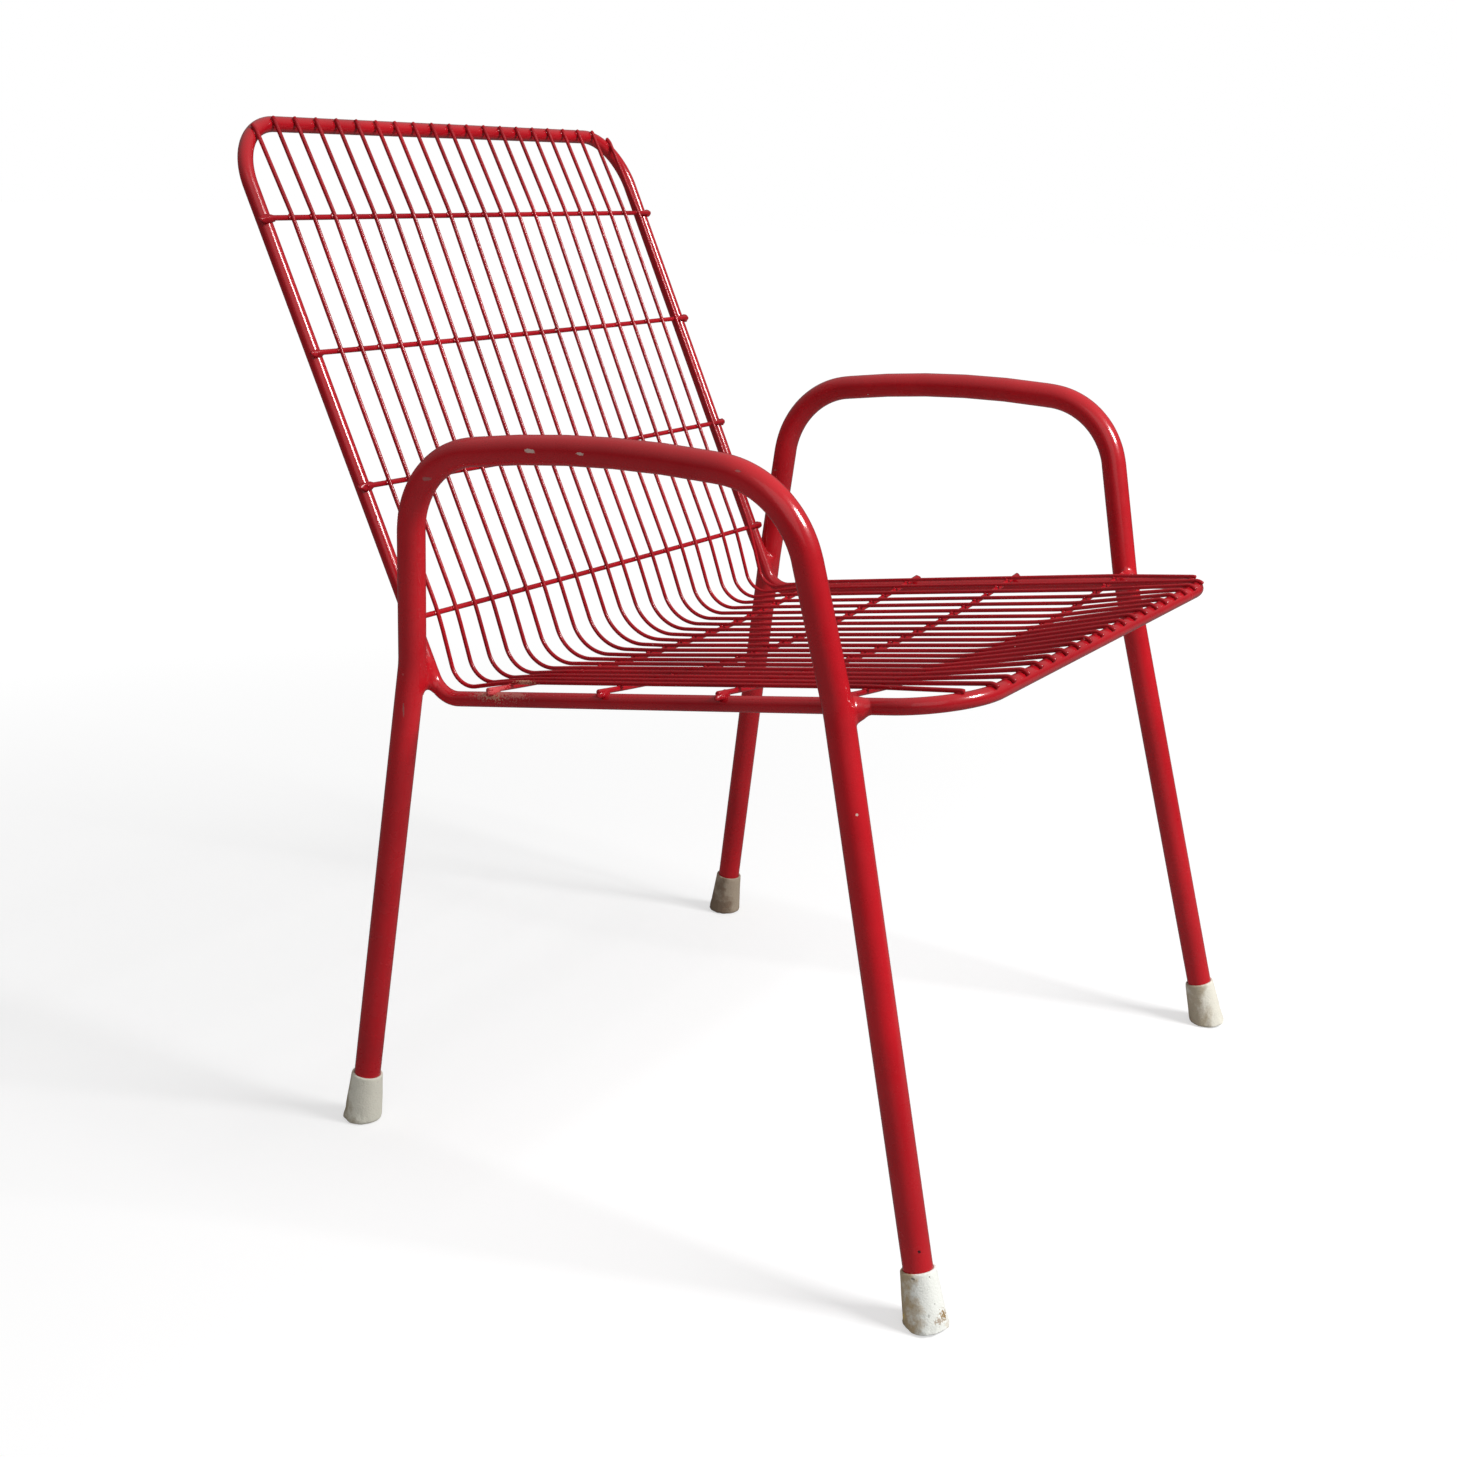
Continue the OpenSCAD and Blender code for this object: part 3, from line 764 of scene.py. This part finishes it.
# %% Profile of a ferrule
LIP, MOUTH_GAP, INNER_GAP, INNER_DEPTH = 1.2, 0.35, 0.25, 6
FOOT_SKIRT = ((3.0, -2.0), (0.6, -0.6))
PROFILE_STEPS, PROFILE_CROWDING = 26, 1.5
LIP_BENDS = (30, 60, 90)

profile = [(FOOT_R - inset, height) for inset, height in FOOT_SKIRT]
for k in range(PROFILE_STEPS):
    share = (k / (PROFILE_STEPS - 1)) ** PROFILE_CROWDING
    radius = FOOT_R + (MOUTH_R - FOOT_R) * share
    profile.append((radius, (CUP_H - LIP) * share))
for bend in LIP_BENDS:
    a = radians(bend)
    radius = MOUTH_R - LIP * (1 - cos(a))
    profile.append((radius, CUP_H - LIP * (1 - sin(a))))
profile.append((LEG_R + MOUTH_GAP, CUP_H))
profile.append((LEG_R + INNER_GAP, CUP_H - INNER_DEPTH))
print("profile", len(profile), "points")

# %% One worn cup
FOOT_ROUND = 3.2
AROUND = 72
TEAR, TEAR_GRAIN, TEAR_FRACTAL = 1.5, 1.6, (1.0, 2.1, 4)
TORN_SHARE, TORN_FADE = 0.45, 1.6
DENT, DENT_GRAIN, DENTS_END = 0.35, 0.9, 3
GRAIN_ROUND, GRAIN_UP = 1.3, 0.06


def ferrule(foot, leg_run, seed):
    """Points and faces of one worn cup."""
    side = unit(np.cross(leg_run, ACROSS))
    other = np.cross(leg_run, side)
    points = []
    for radius, height in profile:
        low = max(0.0, 1 - height / (CUP_H * TORN_SHARE)) ** TORN_FADE
        dented = height < CUP_H - DENTS_END
        for k in range(AROUND):
            a = 2 * pi * k / AROUND
            spoke = side * cos(a) + other * sin(a)
            turned = (cos(a) * GRAIN_ROUND, sin(a) * GRAIN_ROUND)
            where = Vector((*turned, height * GRAIN_UP + seed))
            wear = noise.fractal(where * TEAR_GRAIN, *TEAR_FRACTAL) * TEAR * low
            dent = noise.noise(where * DENT_GRAIN) * DENT
            point = foot + leg_run * height + spoke * (radius + wear + dent * dented)
            point[2] = max(point[2], 0.0)
            left = max(0.0, FOOT_ROUND - point[2])
            point[:2] -= unit(spoke[:2]) * (FOOT_ROUND - sqrt(FOOT_ROUND ** 2 - left ** 2))
            points.append(point)
    return points, ring_faces(len(profile), AROUND) + [tuple(range(AROUND))[::-1]]


# %% Ferrules
SEED_OF_SIDE, SEED_OF_END = 3.7, 11
ferrule_pieces = {}
for end, foot, leg_run in (("front", FRONT_FOOT, front_leg_run), ("rear", REAR_FOOT, rear_leg_run)):
    for side, sign in SIDES:
        mirror = np.array([sign, 1, 1])
        seed = SEED_OF_SIDE * sign + SEED_OF_END * len(end)
        points, faces = ferrule(foot * mirror, leg_run * mirror, seed)
        name = f"ferrule_{end}_{side}"
        piece = mesh_piece(name + "_cup", points, faces)
        ferrule_pieces[end, side] = belongs(piece, "rubber", name)
print("ferrules", len(ferrule_pieces))

# %% [markdown]
# ## Building materials from nodes
# A few helpers keep the recipes short: one adds a node, one starts a node group with
# named sockets, and the rest stand for the nodes that come up again and again.

# %% Node and group helpers
def add(tree, kind, **values):
    made = tree.nodes.new(kind)
    for name, value in values.items():
        setattr(made, name, value)
    return made


COLOR, FLOAT, VECTOR = "NodeSocketColor", "NodeSocketFloat", "NodeSocketVector"


def group(name, inputs, outputs):
    """An empty shader node group with named sockets."""
    tree = bpy.data.node_groups.new(name, "ShaderNodeTree")
    for label, kind, value in inputs:
        socket = tree.interface.new_socket(label, in_out="INPUT", socket_type=kind)
        socket.default_value = value
    for label, kind in outputs:
        tree.interface.new_socket(label, in_out="OUTPUT", socket_type=kind)
    return tree, add(tree, "NodeGroupInput").outputs, add(tree, "NodeGroupOutput")


def fill(tree, made, values):
    """Each value is set on the socket it names, or linked to it if it varies."""
    for label, value in values.items():
        if isinstance(value, (int, float, tuple)):
            made.inputs[label].default_value = value
        else:
            tree.links.new(value, made.inputs[label])
    return made


def use_group(tree, made, values):
    return fill(tree, add(tree, "ShaderNodeGroup", node_tree=made), values).outputs


def new_material(name):
    material = bpy.data.materials.new(name)
    material.use_nodes = True
    return material, material.node_tree, material.node_tree.nodes["Principled BSDF"]


# %% Helpers for textures and sums
NOISE_MOST, NOISE_WIDE, FULL = (0.35, 0.65), (0.3, 0.7), (0.0, 1.0)


def noise_at(tree, vector, scale, detail, roughness=0.5):
    made = add(tree, "ShaderNodeTexNoise")
    values = {"Vector": vector, "Scale": scale, "Detail": detail, "Roughness": roughness}
    return fill(tree, made, values).outputs["Fac"]


def spread(tree, value, low, high, to_low, to_high):
    made = add(tree, "ShaderNodeMapRange")
    labels = ("Value", "From Min", "From Max", "To Min", "To Max")
    values = dict(zip(labels, (value, low, high, to_low, to_high)))
    return fill(tree, made, values).outputs["Result"]


def maths(tree, operation, a, b=0.0):
    made = add(tree, "ShaderNodeMath", operation=operation)
    return fill(tree, made, {0: a, 1: b}).outputs["Value"]


def times(tree, a, b):
    return maths(tree, "MULTIPLY", a, b)


def vector_maths(tree, operation, a, b=None):
    made = add(tree, "ShaderNodeVectorMath", operation=operation)
    fill(tree, made, {0: a} if b is None else {0: a, 1: b})
    return made.outputs["Value" if operation in ("LENGTH", "DOT_PRODUCT") else "Vector"]


def mixed(tree, share, a, b):
    made = add(tree, "ShaderNodeMix", data_type="RGBA")
    return fill(tree, made, {"Factor": share, 6: a, 7: b}).outputs[2]


def chair_place(tree):
    return add(tree, "ShaderNodeTexCoord").outputs["Object"]


# %% Colours as on a screen
def srgb(red, green, blue):
    """A colour as linear values from the 0 to 255 values of a screen."""
    parts = [c / 255 for c in (red, green, blue)]
    linear = [c / 12.92 if c <= 0.04045 else ((c + 0.055) / 1.055) ** 2.4 for c in parts]
    return (*linear, 1.0)


def grey(level):
    return (level, level, level, 1)


print("a screen's mid grey is", round(srgb(128, 128, 128)[0], 3), "in light")

# %% [markdown]
# ## Lacquer
# The red is one glossy coat over steel. Up close such a coat has a faint orange-peel
# skin, slow waves in its shine, and a slightly deeper red where it lies thick. A node
# group holds that, because tubes, wires and welds all use it with their own values.

# %% Lacquer group
SHADE_SCALE, SHINE_SCALE, PEEL_SCALE, WAVE_SCALE = 11, 45, 620, 75
SHINY, HAZY = 0.20, 0.34
PEEL_SHARE = 0.35
lacquer, given, out = group(
    "lacquer",
    [("Red", COLOR, srgb(198, 25, 36)), ("Deep Red", COLOR, srgb(176, 18, 30)), ("Peel", FLOAT, 1.0)],
    [("Color", COLOR), ("Roughness", FLOAT), ("Height", FLOAT)],
)
spot = chair_place(lacquer)
shade = spread(lacquer, noise_at(lacquer, spot, SHADE_SCALE, 3), *NOISE_MOST, *FULL)
gloss = noise_at(lacquer, spot, SHINE_SCALE, 4, 0.6)
peel = times(lacquer, noise_at(lacquer, spot, PEEL_SCALE, 2), PEEL_SHARE)
skin = maths(lacquer, "ADD", peel, noise_at(lacquer, spot, WAVE_SCALE, 2))
fill(lacquer, out, {
    "Color": mixed(lacquer, shade, given["Red"], given["Deep Red"]),
    "Roughness": spread(lacquer, gloss, *NOISE_WIDE, SHINY, HAZY),
    "Height": times(lacquer, skin, given["Peel"]),
})
print("group", lacquer.name)

# %% [markdown]
# ## Wear
# Lacquer wears in two ways. Chips are small, sharp-edged and show the pale primer; rubbed
# places are wide and soft, and turn the red chalky. Both are masks from noise, thresholded
# hard for chips and softly for rubbing.

# %% Wear group
CHIP_ZONE_SCALE, CHIP_ZONES, CHIP_ZONE_PUSH = 9, (0.5, 0.75), 0.12
CHIP_PUSH, CHIP_EDGE = 0.1, (0.85, 0.87)
HAZE_SCALE, HAZE_EDGE = 26, (0.5, 0.85)
wear, given, out = group(
    "lacquer wear",
    [("Chips", FLOAT, 0.5), ("Chip Scale", FLOAT, 130.0), ("Rubbed", FLOAT, 0.5)],
    [("Chip", FLOAT), ("Rubbed", FLOAT)],
)
spot = chair_place(wear)
grit = noise_at(wear, spot, given["Chip Scale"], 3)
zones = noise_at(wear, spot, CHIP_ZONE_SCALE, 2)
score = maths(wear, "ADD", grit, spread(wear, zones, *CHIP_ZONES, 0.0, CHIP_ZONE_PUSH))
score = maths(wear, "ADD", score, times(wear, given["Chips"], CHIP_PUSH))
haze = spread(wear, noise_at(wear, spot, HAZE_SCALE, 5, 0.65), *HAZE_EDGE, *FULL)
fill(wear, out, {
    "Chip": spread(wear, score, *CHIP_EDGE, *FULL),
    "Rubbed": times(wear, haze, given["Rubbed"]),
})
print("group", wear.name)

# %% Group for one marked place: wear, stains and painted highlights
MARK_GRAIN, MARK_TORN, MARK_EDGE = 700, 4.0, (0.9, 1.05)
# a marked place is worn lacquer, a stain, or a painted highlight, each given by its own colour
mark, given, out = group(
    "marked place",
    [("Place", VECTOR, (0, 0, 0)), ("Stretch", VECTOR, (1, 1, 1)),
     ("Reach", FLOAT, 0.002), ("Ragged", FLOAT, 0.5)],
    [("Mask", FLOAT)],
)
spot = chair_place(mark)
offset = vector_maths(mark, "SUBTRACT", spot, given["Place"])
drawn = vector_maths(mark, "MULTIPLY", offset, given["Stretch"])
share = maths(mark, "DIVIDE", vector_maths(mark, "LENGTH", drawn), given["Reach"])
grain = maths(mark, "SUBTRACT", noise_at(mark, spot, MARK_GRAIN, 5, 0.7), 0.5)
ragged = times(mark, grain, given["Ragged"])
edge = maths(mark, "ADD", share, times(mark, ragged, MARK_TORN))
mark.links.new(spread(mark, edge, *MARK_EDGE, 1.0, 0.0), out.inputs["Mask"])
print("group", mark.name)

# %% [markdown]
# ## Places of the marks
# A mark that was seen in a picture lies on the line of sight through its pixel. A ray
# along that line finds the point of the chair that carries it, so the mark stays there
# from any side. Each mark has a pixel, a reach in millimetres, a stretch and a colour.

# %% Points of the chair behind pixels
def seen_at(px, py):
    """Point of the chair that the camera sees at a pixel of the picture."""
    bpy.context.view_layer.update()
    sight = camera_right * (px - CENTRE_PX.x) + camera_up * (CENTRE_PX.y - py) - back * FOCAL_PX
    depsgraph = bpy.context.evaluated_depsgraph_get()
    hit, point, *_rest = scene.ray_cast(depsgraph, CAMERA_AT, sight.normalized())
    return tuple(point) if hit else None


def placed(marks):
    found = [(seen_at(x, y), reach, stretch, colour) for x, y, reach, stretch, colour in marks]
    return [m for m in found if m[0] is not None]


# %% Marks on the lacquer
PALE, FAINT, NICK = srgb(216, 182, 172), srgb(178, 92, 90), srgb(62, 12, 18)
# the pink is a painted highlight; on a wire it is laid over a little worn lacquer
PINK_WEAR_AND_PAINTED_HIGHLIGHT, RUBBED, TAN = srgb(204, 78, 80), srgb(186, 104, 96), srgb(204, 146, 122)
ALONG_X, ALONG_Y, ALONG_Z, ROUND = (0.4, 1, 1), (1, 0.32, 1), (1, 1, 0.12), (1, 1, 1)
tube_marks = placed([
    (529.5, 451, 1.5, ALONG_Y, PALE), (580, 454, 1.0, ALONG_Y, PALE),
    (427, 479, 1.6, ALONG_Y, FAINT), (738, 471, 0.8, ALONG_Y, FAINT),
    (775, 470, 0.9, ALONG_Y, FAINT), (857, 815, 1.0, ROUND, PALE),
    # the round pink spot at the near rear joint is a painted highlight
    (403, 674.5, 1.0, ROUND, PINK_WEAR_AND_PAINTED_HIGHLIGHT), (403.5, 710, 0.7, ALONG_Z, FAINT),
    (919.3, 1251.8, 1.2, ROUND, NICK),
])
loop_marks = placed([
    (472, 691, 4.0, ALONG_Y, RUBBED), (486, 694, 4.2, ALONG_Y, RUBBED),
    (503, 693, 4.5, ALONG_Y, RUBBED), (516, 695, 3.0, ALONG_Y, RUBBED),
    (492, 697, 2.5, ALONG_Y, TAN), (510, 690, 2.2, ALONG_Y, TAN),
])
# the long pink patch at a seat cross wire's near end is partly worn lacquer and partly a painted
# highlight on its lit top
wire_marks = placed([(497, 689, 6.0, ALONG_X, PINK_WEAR_AND_PAINTED_HIGHLIGHT), (524, 682, 2.6, ALONG_Y, TAN)])
print("marks", len(tube_marks), len(loop_marks), len(wire_marks))

# %% Marks on the nearest ferrule
EARTH, DIRT, YELLOWED = srgb(158, 128, 82), srgb(132, 128, 120), srgb(226, 196, 120)
DRY_EARTH, SCRATCH = srgb(190, 174, 156), srgb(188, 188, 180)
rubber_marks = placed([
    (943.5, 1315.5, 3.6, ROUND, EARTH), (939, 1321.5, 2.4, ROUND, DRY_EARTH),
    (903.5, 1316, 2.2, ROUND, YELLOWED), (913, 1279, 0.6, ALONG_Y, DIRT),
    (929.5, 1277, 0.5, ALONG_Y, DIRT), (934.8, 1304, 0.4, ROUND, DIRT),
    (929, 1316, 0.5, ALONG_Z, SCRATCH),
])
print("marks", len(rubber_marks))

# %% [markdown]
# ## Steel materials
# The Principled shader gives the lacquer: a red base under a clear coat. Chips swap the
# base for pale primer and are dull; the bump lets light catch their edges. Wire is dipped
# rather than sprayed and shines less, or its many thin highlights would turn it pink.

# %% A mark in a material
CHIP_RAGGED, PATCH_RAGGED, PATCH_FROM = 0.5, 1.9, 2


def marked(tree, colour, where, reach, stretch, mark_colour):
    """The mask of one marked place, and the colour with the mark on it; marks are wear, stains and
    painted highlights.
    """
    ragged = PATCH_RAGGED if reach > PATCH_FROM else CHIP_RAGGED
    values = {"Place": where, "Stretch": stretch, "Reach": reach * MM, "Ragged": ragged}
    mask = use_group(tree, mark, values)["Mask"]
    return mask, mixed(tree, mask, colour, mark_colour)


# %% Bump helper
def bumped(tree, shader, height, strength, distance):
    values = {"Height": height, "Strength": strength, "Distance": distance}
    bump = fill(tree, add(tree, "ShaderNodeBump"), values)
    tree.links.new(bump.outputs["Normal"], shader.inputs["Normal"])


# %% Red lacquered steel
CHALKY, CHALKY_SHARE = srgb(176, 74, 74), 0.4
CHIP_DULL, RUBBED_DULL, CHIP_DEPTH = 0.6, 0.4, 1.5
COAT_ROUGHNESS, STEEL_SPECULAR = 0.1, 0.25
STEEL_BUMP = (0.4, 0.0003)


def steel(name, red, deep, peel, chips, chip_scale, rubbed, shine, marks):
    """Red lacquer with chips, rubbed places and the marks seen on this piece."""
    material, tree, shader = new_material(name)
    coat = use_group(tree, lacquer, {"Red": red, "Deep Red": deep, "Peel": peel})
    worn = use_group(tree, wear, {"Chips": chips, "Chip Scale": chip_scale, "Rubbed": rubbed})
    chip, hazy = worn["Chip"], worn["Rubbed"]
    colour = mixed(tree, times(tree, hazy, CHALKY_SHARE), coat["Color"], CHALKY)
    colour = mixed(tree, chip, colour, PALE)
    for one in marks:
        # the marks include painted highlights, which are made dull like chips
        mark_mask, colour = marked(tree, colour, *one)
        chip = maths(tree, "MAXIMUM", chip, mark_mask)
    chip_dull = times(tree, chip, CHIP_DULL)
    dull = maths(tree, "MAXIMUM", chip_dull, times(tree, hazy, RUBBED_DULL))
    fill(tree, shader, {
        "Base Color": colour,
        "Roughness": maths(tree, "MAXIMUM", coat["Roughness"], dull),
        "Coat Weight": times(tree, maths(tree, "SUBTRACT", 1.0, dull), shine),
        "Coat Roughness": COAT_ROUGHNESS,
        "Specular IOR Level": STEEL_SPECULAR,
    })
    height = maths(tree, "SUBTRACT", coat["Height"], times(tree, chip, CHIP_DEPTH))
    bumped(tree, shader, height, *STEEL_BUMP)
    return material


# %% The three steels
tube_red = steel(
    "red lacquered tube", red=srgb(200, 25, 36), deep=srgb(184, 18, 30), peel=1.0,
    chips=0.25, chip_scale=130, rubbed=0.2, shine=0.75, marks=tube_marks,
)
loop_red = steel(
    "red lacquered loop", red=srgb(192, 22, 34), deep=srgb(172, 15, 28), peel=0.8,
    chips=0.35, chip_scale=150, rubbed=0.35, shine=0.75, marks=loop_marks,
)
wire_red = steel(
    "red lacquered wire", red=srgb(182, 20, 33), deep=srgb(156, 12, 26), peel=0.5,
    chips=0.4, chip_scale=220, rubbed=0.15, shine=0.25, marks=wire_marks,
)
print("steel materials", tube_red.name, loop_red.name, wire_red.name)

# %% [markdown]
# ## Rubber
# The ferrules were white. Rubber that has stood outdoors turns ivory, takes up brown stains from
# below, and holds grey dirt in its scratches. The same brown also leans onto the side of each foot
# turned away from the key lamp, where it is partly stain and partly painted shade. Height above the
# floor and the way round the foot drive the staining and the painted shade.

# %% Aged rubber
PATCH_SCALE, BLOTCH_SCALE, SPECK_SCALE, GRAIN_SCALE = 55, 160, 480, 700
STAINED_HEIGHT, STAINED_LOW = 0.03, (0.08, -0.06)
# stain and painted shade: how far the brown leans onto the side of the foot turned away from the key
# lamp
STAIN_AND_SHADE_SPAN, STAIN_AND_SHADE_LEAN = (-0.002, 0.015), (-0.12, 0.3)
BLOTCH_SHARE, STAIN_EDGE = 0.35, (0.54, 0.76)
SPECK_EDGE, SPECK_SHARE, SPECK = (0.64, 0.74), 0.45, srgb(96, 84, 72)
RUBBER_ROUGHNESS, RUBBER_SPECULAR = (0.5, 0.78), 0.35
RUBBER_BUMP = (0.6, 0.0008)


def aged_rubber(name, pale, stain_and_shade_colour, amount, foot, stain_and_shade_side, marks):
    """Rubber with patchy stains that gather low down, and brown that is partly stain and partly
    painted shade on the side of the foot turned away from the key lamp.
    """
    material, tree, shader = new_material(name)
    spot = chair_place(tree)
    from_foot = vector_maths(tree, "SUBTRACT", spot, foot)
    sideways = vector_maths(tree, "DOT_PRODUCT", from_foot, stain_and_shade_side)
    height = fill(tree, add(tree, "ShaderNodeSeparateXYZ"), {"Vector": spot}).outputs["Z"]
    blotch = noise_at(tree, spot, BLOTCH_SCALE, 5, 0.65)
    low = spread(tree, height, 0.0, STAINED_HEIGHT, *STAINED_LOW)
    # partly stain, partly painted shade: brown laid on the side of the foot turned away from the key
    # lamp
    stain_and_shade_lean = spread(tree, sideways, *STAIN_AND_SHADE_SPAN, *STAIN_AND_SHADE_LEAN)
    patch = noise_at(tree, spot, PATCH_SCALE, 5, 0.62)
    score = maths(tree, "ADD", maths(tree, "ADD", patch, low), stain_and_shade_lean)
    blotchy = times(tree, maths(tree, "SUBTRACT", blotch, 0.5), BLOTCH_SHARE)
    stain_and_shade_mask = spread(tree, maths(tree, "ADD", score, blotchy), *STAIN_EDGE, 0.0, amount)
    speck = spread(tree, noise_at(tree, spot, SPECK_SCALE, 3, 0.6), *SPECK_EDGE, 0.0, SPECK_SHARE)
    colour = mixed(tree, stain_and_shade_mask, pale, stain_and_shade_colour)
    colour = mixed(tree, times(tree, speck, amount), colour, SPECK)
    for one in marks:
        _, colour = marked(tree, colour, *one)
    fill(tree, shader, {
        "Base Color": colour,
        "Roughness": spread(tree, blotch, *NOISE_WIDE, *RUBBER_ROUGHNESS),
        "Specular IOR Level": RUBBER_SPECULAR,
    })
    grain = maths(tree, "ADD", blotch, noise_at(tree, spot, GRAIN_SCALE, 3))
    bumped(tree, shader, grain, *RUBBER_BUMP)
    return material


def foot_at(end, side):
    foot = {"front": FRONT_FOOT, "rear": REAR_FOOT}[end] * [dict(SIDES)[side], 1, 1]
    return tuple((foot - [0, MIDDLE_Y, 0]) * MM)


# %% The four ferrules' rubber
# last column: the side of each foot turned away from the key lamp, where the brown is partly stain
# and partly painted shade
RUBBERS = (
    ("front", "right", "white rubber", (242, 243, 236), (178, 148, 96), 0.8, (-0.45, 0.89, 0)),
    ("rear", "right", "grey white rubber", (232, 229, 214), (166, 148, 118), 0.75, (-0.5, 0.8, 0)),
    ("front", "left", "ivory rubber", (234, 230, 216), (168, 150, 118), 0.7, (-0.8, 0.5, 0)),
    ("rear", "left", "dull rubber", (178, 162, 142), (128, 106, 86), 0.8, (-0.9, 0.3, 0)),
)
rubbers = {}
for end, side, name, pale, stain_and_shade_colour, amount, stain_and_shade_side in RUBBERS:
    marks = rubber_marks if (end, side) == ("front", "right") else []
    colours = (srgb(*pale), srgb(*stain_and_shade_colour))
    look = aged_rubber(name, *colours, amount, foot_at(end, side), stain_and_shade_side, marks)
    rubbers[end, side] = look
print("rubber materials", len(rubbers))

# %% [markdown]
# ## Handing out the materials
# Every piece remembers the slot that it was made for, so the steels are handed out by
# slot. The construction nodes get a finish as well, in case one is ever shown.

# %% Hand out the materials
steel_of = {"frame_lacquer": tube_red, "loop_lacquer": loop_red, "wire_lacquer": wire_red}
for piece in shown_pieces():
    slot = piece.get("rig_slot")
    if slot in steel_of:
        piece.data.materials.append(steel_of[slot])
for key, piece in ferrule_pieces.items():
    piece.data.materials.append(rubbers[key])
for name, cad_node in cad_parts.items():
    is_rubber = name.startswith("ferrule")
    cad_node.data.materials.clear()
    cad_node.data.materials.append(rubbers["front", "right"] if is_rubber else tube_red)

# %% [markdown]
# ## Floor and light
# The floor looks white to the camera and keeps a soft shadow: part of what the camera
# sees is white that the floor gives off itself, the rest is lit. Farther off its own share
# grows, so that no horizon shows. The two add up to about white everywhere: a brighter
# floor would eat into the thin wires' edges. Glossy red needs something dark to mirror, or
# it turns pink, so the sky is dark low down and bright overhead. A key lamp before the
# chair draws the streaks down the back, and a weak wide one opens the shade.

# %% Floor
FLOOR_SIZE = 40
FADES, OWN_SHARE = (0.7, 1.9), (0.56, 1.0)
LIT_NEAR, LIT_FAR, SEEN_IN_GLOSS, SEEN_BY_SHADE = 0.5, 0.04, 0.14, 0.5
FLOOR_ROUGHNESS, FLOOR_SPECULAR = 0.9, 0.1
bpy.ops.mesh.primitive_grid_add(x_subdivisions=2, y_subdivisions=2, size=FLOOR_SIZE)
floor = bpy.context.object
floor.name = "floor"
floor_paint, tree, shader = new_material("pale floor")
path = add(tree, "ShaderNodeLightPath").outputs
away = vector_maths(tree, "LENGTH", chair_place(tree))
own = spread(tree, away, *FADES, *OWN_SHARE)
lit = mixed(tree, spread(tree, away, *FADES, *FULL), grey(LIT_NEAR), grey(LIT_FAR))
mirrored = mixed(tree, path["Is Glossy Ray"], lit, grey(SEEN_IN_GLOSS))
diffused = mixed(tree, path["Is Diffuse Ray"], mirrored, grey(SEEN_BY_SHADE))
fill(tree, shader, {
    "Base Color": diffused,
    "Roughness": FLOOR_ROUGHNESS,
    "Specular IOR Level": FLOOR_SPECULAR,
    "Emission Color": grey(1),
    "Emission Strength": times(tree, path["Is Camera Ray"], own),
})
floor.data.materials.append(floor_paint)
print("floor", FLOOR_SIZE, "m wide")

# %% World
SKY_LOW, SKY_OVERHEAD, SKY_TO_CAMERA = 0.04, 0.5, 1.0
world = bpy.data.worlds.new("white studio")
scene.world = world
world.use_nodes = True
tree = world.node_tree
sky = tree.nodes["Background"]
path = add(tree, "ShaderNodeLightPath").outputs
ways = add(tree, "ShaderNodeTexCoord").outputs["Generated"]
heading = fill(tree, add(tree, "ShaderNodeSeparateXYZ"), {"Vector": ways})
overhead = spread(tree, heading.outputs["Z"], *FULL, SKY_LOW, SKY_OVERHEAD)
strength = spread(tree, path["Is Camera Ray"], *FULL, overhead, SKY_TO_CAMERA)
fill(tree, sky, {"Strength": strength, "Color": grey(1)})
print("world", world.name)

# %% Lamps
LAMPS_AIM = (0, 0, 0.45)
KEY_AT, KEY_SIZE, KEY_POWER = (0.4, -2.9, 2.9), (1.2, 0.9), 138
FILL_AT, FILL_SIZE, FILL_POWER = (-2.6, -1.4, 2.2), (2.4, 2.4), 9


def soft_lamp(name, at, size, power):
    light = bpy.data.lights.new(name, "AREA")
    light.shape = "RECTANGLE"
    light.size, light.size_y = size
    light.energy = power
    lamp = bpy.data.objects.new(name, light)
    lamp.location = at
    lamp.rotation_euler = (Vector(LAMPS_AIM) - Vector(at)).to_track_quat("-Z", "Y").to_euler()
    scene.collection.objects.link(lamp)


soft_lamp("key", KEY_AT, KEY_SIZE, KEY_POWER)
soft_lamp("fill", FILL_AT, FILL_SIZE, FILL_POWER)
